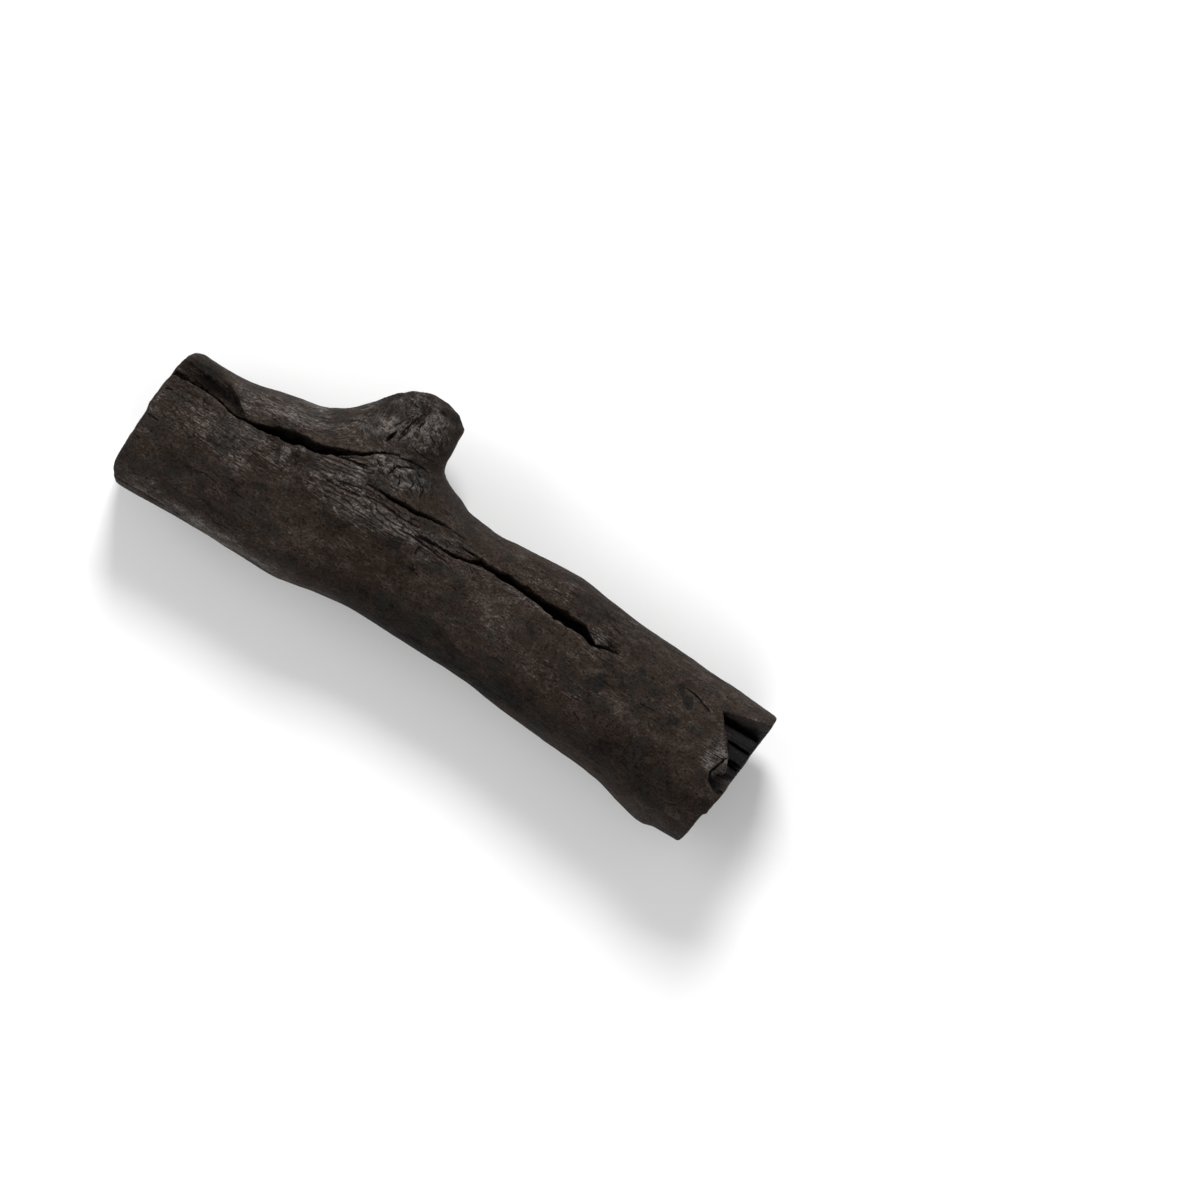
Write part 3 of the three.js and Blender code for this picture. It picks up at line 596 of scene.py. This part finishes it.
def smoothed(points, faces, keep, rounds):
    """Moves points towards the middle of their faces' corners, but for those that keep holds."""
    corner = faces.ravel()
    count = np.bincount(corner, minlength=len(points))
    for _ in range(rounds):
        middle = np.repeat(points[faces].mean(1), 4, 0)
        pulled = np.stack([np.bincount(corner, middle[:, n], len(points)) / count for n in range(3)], 1)
        points = points + (pulled - points) * (0.6 * (1 - keep))[:, None]
    return points


grooves = [skin_groove(PEELED, skin_seen_from_above, PEELED_FLOOR)]
grooves += [skin_groove(rows, skin_seen_from_above, FISSURE_FLOOR) for rows in FISSURES + CREASES]
grooves += [skin_groove(rows, skin_round_branch, FISSURE_FLOOR) for rows in HIDDEN_FISSURES]
grooves += [check_in_end(LEFT_FACE, -1, *check) for check in LEFT_CHECKS]
grooves += [check_in_end(RIGHT_FACE, 1, *check) for check in RIGHT_CHECKS]


def left_face(y, z):
    return np.interp(y, *np.array(LEFT_CUT).T) + 0.15 * wander(y / 2, z / 2, 0 * z)


def right_face(y, z):
    return np.interp(y, *np.array(RIGHT_CUT).T) + 0.15 * wander(y / 2.2, z / 2.2, 0 * z)


def lump_net():
    """The branch with its cuts, as points and faces in millimetres in its own axes."""
    grid = [np.arange(low, high, SPACING) for low, high in ROOM]
    x, y, z = np.meshgrid(*grid, indexing="ij", sparse=True)
    values = branch_field(x, y, z)
    values = smooth_max(values, left_face(y, z) - x, LEFT_RIM)
    values = smooth_max(values, x - right_face(y, z), RIGHT_RIM)
    carve(values, grid, grooves)
    corner = slice(int(np.searchsorted(grid[0], SLANT[0][0] - 3)), None)
    values[corner] = np.maximum(values[corner], -break_distance(x[corner], y, z))
    values = np.maximum(values, -z)
    return surface_net(values, np.array([a[0] for a in grid]), SPACING)


def groove_nearness(points, cuts):
    """The distance from the nearest groove's inside at each point, up to FAR_FROM_GROOVE."""
    nearest = np.full(len(points), FAR_FROM_GROOVE)
    for cut, n, low, high in stretches(cuts):
        near = np.all((points > low) & (points < high), 1)
        if near.any():
            nearest[near] = np.minimum(nearest[near], beside_groove(cut, n, points[near]))
    return nearest


def fibres_at(x, y, z):
    """Where a point is across the grain and along it, as the fibres run past the stub and up it."""
    edge = np.interp(x, *np.array(GRAIN_EDGE).T)
    squeeze = (curve(STUB_SIDE, x) - GRAIN_STRAIGHT) / (edge - GRAIN_STRAIGHT)
    across = np.where(y > GRAIN_STRAIGHT, GRAIN_STRAIGHT + (y - GRAIN_STRAIGHT) * squeeze, y)
    up_stub = smooth_step(y, 24, 30) * smooth_step(np.abs(x - STUB_CENTRE), 15, 9)
    fan = (x - STUB_CENTRE) / (1 + 0.045 * (45 - np.minimum(y, 45)))
    middle_y, middle_z = axis_at(x)
    from_top = np.arctan2(y - middle_y, z - middle_z)
    across = across + (MEAN_RADIUS * from_top - (y - middle_y)) * smooth_step(y, 30, 22)
    return across + (fan - across) * up_stub, x + (y - x) * up_stub


def hairline_paths():
    """The thin cracks on the skin with their half widths: the placed ones, and stray ones all round."""
    paths = []
    for line in HAIRLINES:
        points = skin_seen_from_above(*np.array(line, float).T)
        taper = np.sin(np.linspace(0.15, 0.85, len(line)) * math.pi)
        paths.append((points, HAIRLINE_HALF * taper))
    for rows in FISSURES + CREASES:
        x, y, width, _ = np.array(rows, float).T
        paths.append((skin_seen_from_above(x, y), 0.12 + 0.36 * width))
    chance = np.random.default_rng(5)
    for _ in range(STRAY_HAIRLINES):
        length = chance.uniform(1.5, 7)
        start = chance.uniform(-90, 88 - length)
        x = np.linspace(start, start + length, 5)
        degrees = chance.uniform(0, 360) + np.cumsum(chance.normal(0, 0.8, 5))
        paths.append((skin_round_branch(x, degrees), 0.13 * np.array([0.3, 0.8, 1, 0.8, 0.3])))
    return paths


def hairline_sides(points):
    """The signed distance across the nearest thin crack at each point, and that crack's half width."""
    side = np.full(len(points), HAIRLINE_REACH)
    half = np.full(len(points), -1.0)
    nearest = np.full(len(points), HAIRLINE_REACH)
    order = np.argsort(points[:, 0])
    sorted_x = points[order, 0]
    for path, halves in hairline_paths():
        out = outward(path)
        for n in range(len(path) - 1):
            start, run = path[n], path[n + 1] - path[n]
            low, high = sorted([start[0], start[0] + run[0]])
            some = order[slice(*np.searchsorted(sorted_x, (low - HAIRLINE_REACH, high + HAIRLINE_REACH)))]
            offset = points[some] - start
            along = offset @ run / (run @ run)
            t = np.clip(along, 0, 1)
            apart = offset - t[:, None] * run
            across = np.cross(out[n], run)
            across /= np.linalg.norm(across)
            distance = np.linalg.norm(apart, axis=1)
            past = np.abs(along - t) * np.linalg.norm(run)
            here = halves[n] + t * (halves[n + 1] - halves[n]) - 0.6 * past
            nearer = distance - here < nearest[some]
            nearest[some[nearer]] = (distance - here)[nearer]
            half[some[nearer]] = here[nearer]
            side[some[nearer]] = (np.sign(apart @ across) * distance)[nearer]
    return side, half


def patches_at(patches, x, y):
    """The sum of oval patches that fade out at their edges."""
    total = 0
    for middle_x, middle_y, half_long, half_wide, degrees, amount in patches:
        turn = math.radians(degrees)
        u = ((x - middle_x) * math.cos(turn) + (y - middle_y) * math.sin(turn)) / half_long
        v = ((y - middle_y) * math.cos(turn) - (x - middle_x) * math.sin(turn)) / half_wide
        total = total + amount * smooth_step(np.hypot(u, v), 1.4, 0.4)
    return total


def relief(points, across, along, coarse, crumbly, above, shares):
    """How far each point stands out of or in from the smooth shape."""
    x, y, z = points.T
    skin, broken, sawn = shares
    swell = Noise(11).layers(x / 17, y / 9, z / 9, 2)
    lumps = Noise(12).layers(along / 5, across / 2.6, z / 9, 3)
    fibres = Noise(13).layers(along / 8, across / 1.3, z / 9, 2)
    crumbs = 1 - 2 * np.abs(Noise(18).layers(x / 2.4, y / 2.0, z / 2.0, 2))
    on_skin = 0.25 * swell + (0.08 + 0.12 * coarse) * lumps + (0.05 + 0.12 * coarse) * fibres
    on_skin = on_skin + 0.36 * crumbly * crumbs + patches_at(SWELLINGS, x, y) * above
    on_break = 0.1 * Noise(15).layers(x / 7, y / 0.7, z / 0.7, 2)
    on_saw = 0.1 * Noise(16).layers(x, y / 1.4, z / 1.4, 2)
    inside = 0.2 * Noise(17).layers(x / 4, y / 0.9, z / 0.9, 2)
    height = skin * on_skin + broken * on_break + sawn * on_saw
    return height + (1 - skin) * (1 - broken) * (1 - sawn) * inside


def lump_mesh():
    points, faces = lump_net()
    x, y, z = points.T
    sunk = -branch_field(x, y, z)
    from_groove = groove_nearness(points, grooves)
    from_fissure = groove_nearness(points, grooves[1:])
    from_break = break_distance(x, y, z)
    broken = smooth_step(-np.abs(from_break), -0.8, -0.3) * smooth_step(sunk, 0.1, 0.7) * (x > 78)
    sawn_right = smooth_step(x - right_face(y, z), -0.9, -0.3) * (1 - broken)
    sawn = np.maximum(sawn_right, smooth_step(left_face(y, z) - x, -0.9, -0.3))
    skin = (1 - broken) * (1 - sawn) * smooth_step(sunk, 1.2, 0.3)
    edge = np.clip(np.exp(-np.abs(from_groove)) + np.exp(-np.abs(from_break)), 0, 1)
    flat = smooth_step(z, 0.5, 0.1)
    points = smoothed(points, faces, np.clip(edge * 1.4 + flat, 0, 1), 2)
    above = smooth_step(z - axis_at(x)[1], -2, 2)
    warp = 1.6 * wander(x / 5, y / 5, z / 5)
    torn = 1.1 * Noise(20).layers(x / 2.2, y / 1.8, z / 2, 2)
    # the skin's own tones together with painted shade and painted highlights, on the upper side only
    tone_and_painted_light = patches_at(TONES_AND_PAINTED_LIGHT, x + warp, y + 0.6 * warp) * above
    coarse = smooth_step(0.8 * Noise(14)(x / 22, y / 8, z / 9) + 1.3 * tone_and_painted_light, -0.1, 1.1)
    coarse = coarse * (1 - 0.75 * smooth_step(-y, 12, 16) * above)
    crumbly = smooth_step(patches_at(CRUMBLES, x, y), 0, 1) * above
    elsewhere = smooth_step(Noise(19)(x / 24, y / 8, z / 8), 0.25, 0.7) * (1 - above)
    across, along = fibres_at(x, y, z)
    height = relief(points, across, along, coarse, crumbly, above, (skin, broken, sawn)) * (1 - 0.97 * flat)
    points = points + normals_of(points, faces) * height[:, None]

    mesh = bpy.data.meshes.new("charcoal")
    mesh.from_pydata(((points - ORIGIN) * MM).tolist(), [], faces.tolist())
    side, half = hairline_sides(points)
    middle_y, middle_z = axis_at(x)
    facts = {
        "across": across,
        "along": along,
        "reach": np.hypot(y - middle_y - 2, z - middle_z + 1.5) + 0.5 * wander(x / 9, y / 6, z / 6),
        "sunk": np.clip(sunk, 0, 8) * (1 - sawn),
        # where painted shade goes on the fissures' walls, just under the skin
        "wall_shade": smooth_step(from_fissure, 0.4, 0.1) * smooth_step(sunk, 0.1, 0.7) * (1 - sawn),
        "broken": broken,
        "sawn": sawn,
        "edge": np.exp(-np.maximum(from_groove, 0) / 0.9) * smooth_step(sunk, 0.7, 0.1),
        "tone_and_painted_light": tone_and_painted_light,
        "height": height,
        "coarse": coarse,
        "crumbly": crumbly,
        "furrowed": np.maximum(patches_at(FURROWED, x, y) * above, elsewhere),
        "stain": patches_at(STAINS, x + torn, y + 0.7 * torn) * above,
        "hair_side": side,
        "hair_half": half,
    }
    for name, values in facts.items():
        layer = mesh.attributes.new(name, "FLOAT", "POINT")
        layer.data.foreach_set("value", values.astype(np.float32))
    mesh.update()
    return finished(mesh)


def finished(mesh):
    """The mesh thinned where nearly flat, kept in the part's box, and smooth but for its sharp edges."""
    carrier = bpy.data.objects.new("carrier", mesh)
    bpy.context.scene.collection.objects.link(carrier)
    thinner = carrier.modifiers.new("thinner", "DECIMATE")
    thinner.ratio = min(1, TRIANGLES / (2 * len(mesh.polygons)))
    graph = bpy.context.evaluated_depsgraph_get()
    thinned = carrier.evaluated_get(graph)
    thin = bpy.data.meshes.new_from_object(thinned, preserve_all_data_layers=True, depsgraph=graph)
    bpy.data.objects.remove(carrier)
    points = np.empty(3 * len(thin.vertices), np.float32)
    thin.vertices.foreach_get("co", points)
    points = np.clip(points.reshape(-1, 3), *cad_box)
    thin.vertices.foreach_set("co", points.ravel())
    thin.polygons.foreach_set("use_smooth", np.ones(len(thin.polygons), bool))
    thin.update()
    thin.set_sharp_from_angle(angle=SHARP_EDGE)
    return thin


class Tree:
    """Writes a material's nodes as nested calls."""

    def __init__(self, name):
        self.material = bpy.data.materials.new(name)
        self.material.use_nodes = True
        self.tree = self.material.node_tree
        self.shader = self.tree.nodes["Principled BSDF"]

    def put(self, socket, value):
        if isinstance(value, bpy.types.NodeSocket):
            self.tree.links.new(value, socket)
        else:
            socket.default_value = value

    def node(self, kind, inputs, output=0, **settings):
        node = self.tree.nodes.new(kind)
        for key, value in settings.items():
            setattr(node, key, value)
        for key, value in inputs.items():
            self.put(node.inputs[key], value)
        return node.outputs[output]

    def fact(self, name):
        return self.node("ShaderNodeAttribute", {}, "Fac", attribute_name=name)

    def math(self, operation, a, b=0.0):
        return self.node("ShaderNodeMath", {0: a, 1: b}, operation=operation)

    def clamp(self, value):
        return self.node("ShaderNodeClamp", {"Value": value})

    def band(self, value, low, high, to_low=0.0, to_high=1.0):
        inputs = {"Value": value, "From Min": low, "From Max": high, "To Min": to_low, "To Max": to_high}
        return self.node("ShaderNodeMapRange", inputs, interpolation_type="SMOOTHSTEP")

    def between(self, share, at_none, at_full):
        return self.band(share, 0.0, 1.0, at_none, at_full)

    def times(self, a, b):
        return self.math("MULTIPLY", a, b)

    def noise(self, vector, detail, roughness, distortion=0.0, **settings):
        inputs = {"Vector": vector, "Scale": 1.0, "Detail": detail, "Roughness": roughness}
        inputs["Distortion"] = distortion
        return self.node("ShaderNodeTexNoise", inputs, **settings)

    def mix(self, share, a, b):
        return self.node("ShaderNodeMix", {0: share, 6: a, 7: b}, 2, data_type="RGBA")

    def total(self, *parts):
        whole = parts[0]
        for part in parts[1:]:
            whole = self.math("ADD", whole, part)
        return whole


def colour(red, green, blue):
    return (red, green, blue, 1)


PITCH = colour(0.0040, 0.0028, 0.0024)
DARK = colour(0.0165, 0.0111, 0.0085)
BROWN = colour(0.0265, 0.0180, 0.0139)
GREY = colour(0.0420, 0.0315, 0.0265)
PALE = colour(0.0660, 0.0540, 0.0475)
ASH_AND_GLINT = colour(0.1250, 0.1130, 0.1060)
BLUE = colour(0.0125, 0.0128, 0.0110)
OLIVE = colour(0.0250, 0.0190, 0.0125)
STEEL = colour(0.0040, 0.0041, 0.0052)
STAIN = colour(0.0082, 0.0090, 0.0085)
FACET = colour(0.0230, 0.0178, 0.0155)
# The skin's colours from its darkest to its lightest
SKIN = [(0.0, PITCH), (0.25, DARK), (0.45, BROWN), (0.65, GREY), (0.85, PALE), (1.1, ASH_AND_GLINT)]
# How light the plain skin is along SKIN, and how much lighter one step of the tones and painted light makes
# it
MEAN_LIGHT = 0.465
TONE_AND_LIGHT_STEP = 0.2
FURROW_PITCH = 0.85


def char_material():
    tree = Tree("char")
    place = tree.node("ShaderNodeTexCoord", {}, "Object")
    x, y, z = (tree.node("ShaderNodeSeparateXYZ", {0: place}, n) for n in range(3))
    x, y, z = (tree.times(a, 1 / MM) for a in (x, y, z))
    across, along = tree.fact("across"), tree.fact("along")

    def space(long, around):
        """Noise space in the object's own axes, in millimetres."""
        parts = [tree.math("DIVIDE", a, size) for a, size in ((x, long), (y, around), (z, around))]
        return tree.node("ShaderNodeCombineXYZ", dict(enumerate(parts)))

    def grain(long, around):
        """Noise space whose features are long along the grain and around across it, in millimetres."""
        parts = [tree.math("DIVIDE", along, long), tree.math("DIVIDE", across, around)]
        return tree.node("ShaderNodeCombineXYZ", dict(enumerate(parts)))

    def swing(value, amount):
        return tree.times(tree.math("SUBTRACT", value, 0.5), amount)

    level = {"noise_dimensions": "2D"}
    mottle = tree.noise(space(10, 6), 3.0, 0.6, 0.5)
    patches = tree.noise(space(2.6, 1.8), 4.0, 0.68, 1.0)
    fibres = tree.noise(grain(4, 0.5), 3.0, 0.6, 0.3, **level)
    dashes = tree.noise(grain(1.5, 0.3), 2.0, 0.6, 0.2, **level)
    specks = tree.noise(space(0.55, 0.45), 2.0, 0.7)
    tint = tree.noise(space(11, 8), 3.0, 0.6, 0.8)
    bend = {"Vector": space(1.5, 1.5), "Scale": 1.0, "Detail": 2.0}
    bend = tree.node("ShaderNodeTexNoise", bend, "Color")
    bent = tree.node("ShaderNodeVectorMath", {0: space(2.4, 1.5), 1: bend}, operation="ADD")
    cell = tree.node("ShaderNodeTexVoronoi", {"Vector": bent, "Scale": 1.0}, "Color")
    cell = tree.node("ShaderNodeSeparateXYZ", {0: cell}, 0)
    pit_space = {"Vector": grain(1.9, 1.1), "Scale": 1.0}
    pit = tree.node("ShaderNodeTexVoronoi", pit_space, "Distance", voronoi_dimensions="2D")
    pit_kind = tree.node("ShaderNodeTexVoronoi", pit_space, "Color", voronoi_dimensions="2D")
    pit_kind = tree.band(tree.node("ShaderNodeSeparateXYZ", {0: pit_kind}, 1), 0.78, 0.82)
    pit = tree.times(tree.band(pit, 0.13, 0.26, 1.0, 0.0), pit_kind)

    # furrows that run with the grain, and come and go
    sway = tree.total(
        tree.times(across, 2 * math.pi / FURROW_PITCH),
        swing(tree.noise(grain(9, 3), 2.0, 0.5, **level), 16.0),
        swing(tree.noise(grain(3, 1.5), 1.0, 0.5, **level), 6.0),
    )
    ridge = tree.math("SINE", sway)
    coarse, crumbly = tree.fact("coarse"), tree.fact("crumbly")
    gaps = swing(tree.noise(grain(4.5, 0.8), 2.0, 0.6, **level), 1.6)
    furrowed = tree.band(tree.total(tree.fact("furrowed"), gaps), 0.2, 0.7)
    furrow = tree.times(tree.band(ridge, 0.35, 0.9), furrowed)

    # short crooked wrinkles where the skin is crumbly
    wrinkle = tree.math("ABSOLUTE", swing(tree.noise(space(2.0, 1.7), 2.0, 0.6, 1.0), 1.0))
    wrinkled = tree.band(tree.total(crumbly, swing(mottle, 1.2)), 0.2, 0.8)
    wrinkle = tree.times(tree.band(wrinkle, 0.04, 0.008), wrinkled)

    # how light the skin is, from 0 to 1, with painted light and shade from the tones and from the relief's
    # height
    lift = tree.times(tree.between(coarse, 0.14, 0.8), tree.between(crumbly, 1.0, 0.4))
    lift = tree.times(lift, tree.between(furrowed, 1.0, 0.62))
    streaky = tree.total(swing(fibres, 1.5), swing(dashes, 1.2), swing(patches, 1.1))
    blotchy = tree.times(tree.between(crumbly, 0.6, 1.9), tree.between(furrowed, 1.0, 0.6))
    light = tree.total(
        # painted shade and painted highlights, with the skin's own tones
        tree.times(tree.fact("tone_and_painted_light"), TONE_AND_LIGHT_STEP),
        swing(mottle, 0.8),
        tree.times(swing(patches, 1.0), blotchy),
        swing(cell, 0.22),
        tree.times(streaky, lift),
        swing(specks, 1.15),
        # painted light on raised relief and painted shade in its hollows
        tree.times(tree.fact("height"), 0.4),
        tree.times(tree.times(ridge, furrowed), -0.05),
        MEAN_LIGHT,
    )
    skin = tree.node("ShaderNodeValToRGB", {"Fac": light})
    ramp = skin.node.color_ramp
    ramp.elements[0].position, ramp.elements[0].color = SKIN[0]
    ramp.elements[1].position, ramp.elements[1].color = SKIN[-1]
    for position, shade in SKIN[1:-1]:
        ramp.elements.new(position).color = shade
    varied = tree.total(tint, swing(cell, 0.12), swing(patches, 0.5))
    skin = tree.mix(tree.times(tree.band(varied, 0.51, 0.62), 0.65), skin, BLUE)
    skin = tree.mix(tree.times(tree.band(varied, 0.46, 0.36), 0.4), skin, OLIVE)
    stained = tree.band(tree.total(tree.fact("stain"), swing(patches, 1.0), swing(cell, 0.3)), 0.4, 0.62)
    skin = tree.mix(tree.times(stained, 0.75), skin, STAIN)

    # pale rims beside the fissures, and bright flecks painted as glints of light
    rim = tree.times(tree.band(tree.fact("edge"), 0.35, 0.95), tree.band(dashes, 0.42, 0.62))
    skin = tree.mix(tree.times(rim, 0.55), skin, PALE)
    # painted glints: bright flecks of ash colour on the coarse skin
    painted_glints = tree.times(tree.band(dashes, 0.64, 0.74), tree.band(coarse, 0.1, 0.9))
    skin = tree.mix(tree.times(painted_glints, 0.15), skin, ASH_AND_GLINT)

    # little nicks along the grain, all over the skin
    nick = tree.noise(grain(1.1, 0.4), 1.0, 0.5, 0.4, **level)
    nick = tree.times(tree.band(nick, 0.60, 0.69), tree.band(patches, 0.35, 0.6, 0.25, 0.7))

    # hairline cracks, wider and thinner along their way
    hair_side = tree.math("ABSOLUTE", tree.total(tree.fact("hair_side"), swing(patches, 1.1)))
    hair = tree.total(tree.fact("hair_half"), swing(dashes, 0.3), tree.times(hair_side, -1.0))
    hair = tree.band(hair, -0.10, 0.04)
    crack = tree.math("MAXIMUM", tree.times(furrow, 0.8), hair)
    crack = tree.math("MAXIMUM", crack, tree.times(wrinkle, 0.7))
    crack = tree.math("MAXIMUM", crack, tree.times(pit, 0.65))
    crack = tree.math("MAXIMUM", crack, nick)
    skin = tree.mix(tree.times(crack, 0.9), skin, PITCH)

    # painted shade inside the grooves, darker the deeper they go
    inside = tree.band(tree.fact("sunk"), 0.7, 4.0)
    layers = tree.noise(space(11, 0.5), 3.0, 0.6)
    # the broken faces' own layers, with painted light from the high tone patches turning them to FACET and
    # then BROWN
    facing = tree.total(layers, tree.times(tree.fact("tone_and_painted_light"), 0.35))
    fracture = tree.mix(tree.band(facing, 0.5, 0.9), STEEL, FACET)
    fracture = tree.mix(tree.band(tree.fact("tone_and_painted_light"), 1.3, 2.4), fracture, BROWN)
    rings = tree.math("SINE", tree.times(tree.fact("reach"), 4.2))
    saw_light = tree.total(swing(rings, 0.14), swing(mottle, 0.5), swing(patches, 0.8), 0.5)
    saw = tree.mix(tree.clamp(saw_light), DARK, BROWN)
    broken, sawn = tree.fact("broken"), tree.fact("sawn")
    # painted shade: deep in the grooves the colour turns PITCH
    base = tree.mix(inside, skin, PITCH)
    base = tree.mix(broken, base, fracture)
    base = tree.mix(sawn, base, saw)
    # painted shade on the fissures' walls, together with the hairline cracks' own dark lines
    painted_wall_shade = tree.times(tree.fact("wall_shade"), 0.62)
    base = tree.mix(tree.math("MAXIMUM", painted_wall_shade, tree.times(hair, 0.8)), base, PITCH)
    tree.put(tree.shader.inputs["Base Color"], base)

    roughness = tree.total(tree.times(patches, 0.4), tree.times(dashes, 0.3), 0.25)
    roughness = tree.math("SUBTRACT", roughness, tree.times(broken, 0.16))
    tree.put(tree.shader.inputs["Roughness"], tree.clamp(roughness))
    tree.shader.inputs["IOR"].default_value = 1.4
    tree.put(tree.shader.inputs["Specular IOR Level"], tree.between(broken, 0.05, 0.16))

    height = tree.total(
        tree.times(fibres, tree.between(coarse, 0.18, 0.5)),
        tree.times(dashes, tree.between(coarse, 0.12, 0.3)),
        tree.times(specks, 0.2),
        tree.times(patches, tree.between(crumbly, 0.5, 1.5)),
        tree.times(crack, -0.35),
        tree.times(tree.times(rings, sawn), 0.05),
    )
    bump = tree.node("ShaderNodeBump", {"Height": height, "Distance": MM, "Strength": 1.0})
    tree.put(tree.shader.inputs["Normal"], bump)
    return tree.material


def add_lump():
    lump = bpy.data.objects.new("charcoal", lump_mesh())
    bpy.context.scene.collection.objects.link(lump)
    lump.data.materials.append(char_material())
    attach(lump, "root")
    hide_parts(NODE)


def add_floor():
    bpy.ops.mesh.primitive_plane_add(size=FLOOR_SIZE, location=(0, 0, 0))
    floor = bpy.context.object
    floor.name = "floor"
    tree = Tree("floor")
    tree.shader.inputs["Base Color"].default_value = colour(0.88, 0.88, 0.88)
    tree.shader.inputs["Roughness"].default_value = 0.9
    tree.shader.inputs["Specular IOR Level"].default_value = 0.1
    floor.data.materials.append(tree.material)


def add_light(name, place, size, power):
    """A soft square lamp that faces the lump."""
    light = bpy.data.lights.new(name, "AREA")
    light.shape = "SQUARE"
    light.size = size
    light.energy = power
    lamp = bpy.data.objects.new(name, light)
    lamp.location = place
    toward = -lamp.location.normalized()
    lamp.rotation_euler = toward.to_track_quat("-Z", "Y").to_euler()
    bpy.context.scene.collection.objects.link(lamp)


def add_lights():
    add_light("key", (-0.4, 0.85, 0.85), 0.4, 16)
    add_light("fill", (0.6, -0.8, 0.9), 1.0, 6)
    add_light("left", (-1.0, -0.1, 0.6), 0.6, 4)
    world = bpy.data.worlds.new("world")
    world.use_nodes = True
    background = world.node_tree.nodes["Background"]
    background.inputs["Color"].default_value = colour(1, 1, 1)
    background.inputs["Strength"].default_value = 0.4
    bpy.context.scene.world = world
    bpy.context.scene.view_settings.view_transform = "Standard"


def add_camera():
    data = bpy.data.cameras.new("camera")
    data.sensor_width = SENSOR
    data.lens = SENSOR * (CAMERA_HEIGHT - SILHOUETTE_HEIGHT) / PHOTO_WIDTH
    camera = bpy.data.objects.new("camera", data)
    camera.location = (PHOTO_MIDDLE[0] * MM, (PHOTO_MIDDLE[1] - ORIGIN[1]) * MM, CAMERA_HEIGHT)
    camera.rotation_euler = (0, 0, PHOTO_TURN)
    bpy.context.scene.collection.objects.link(camera)
    bpy.context.scene.camera = camera


add_camera()
add_floor()
add_lights()
add_lump()
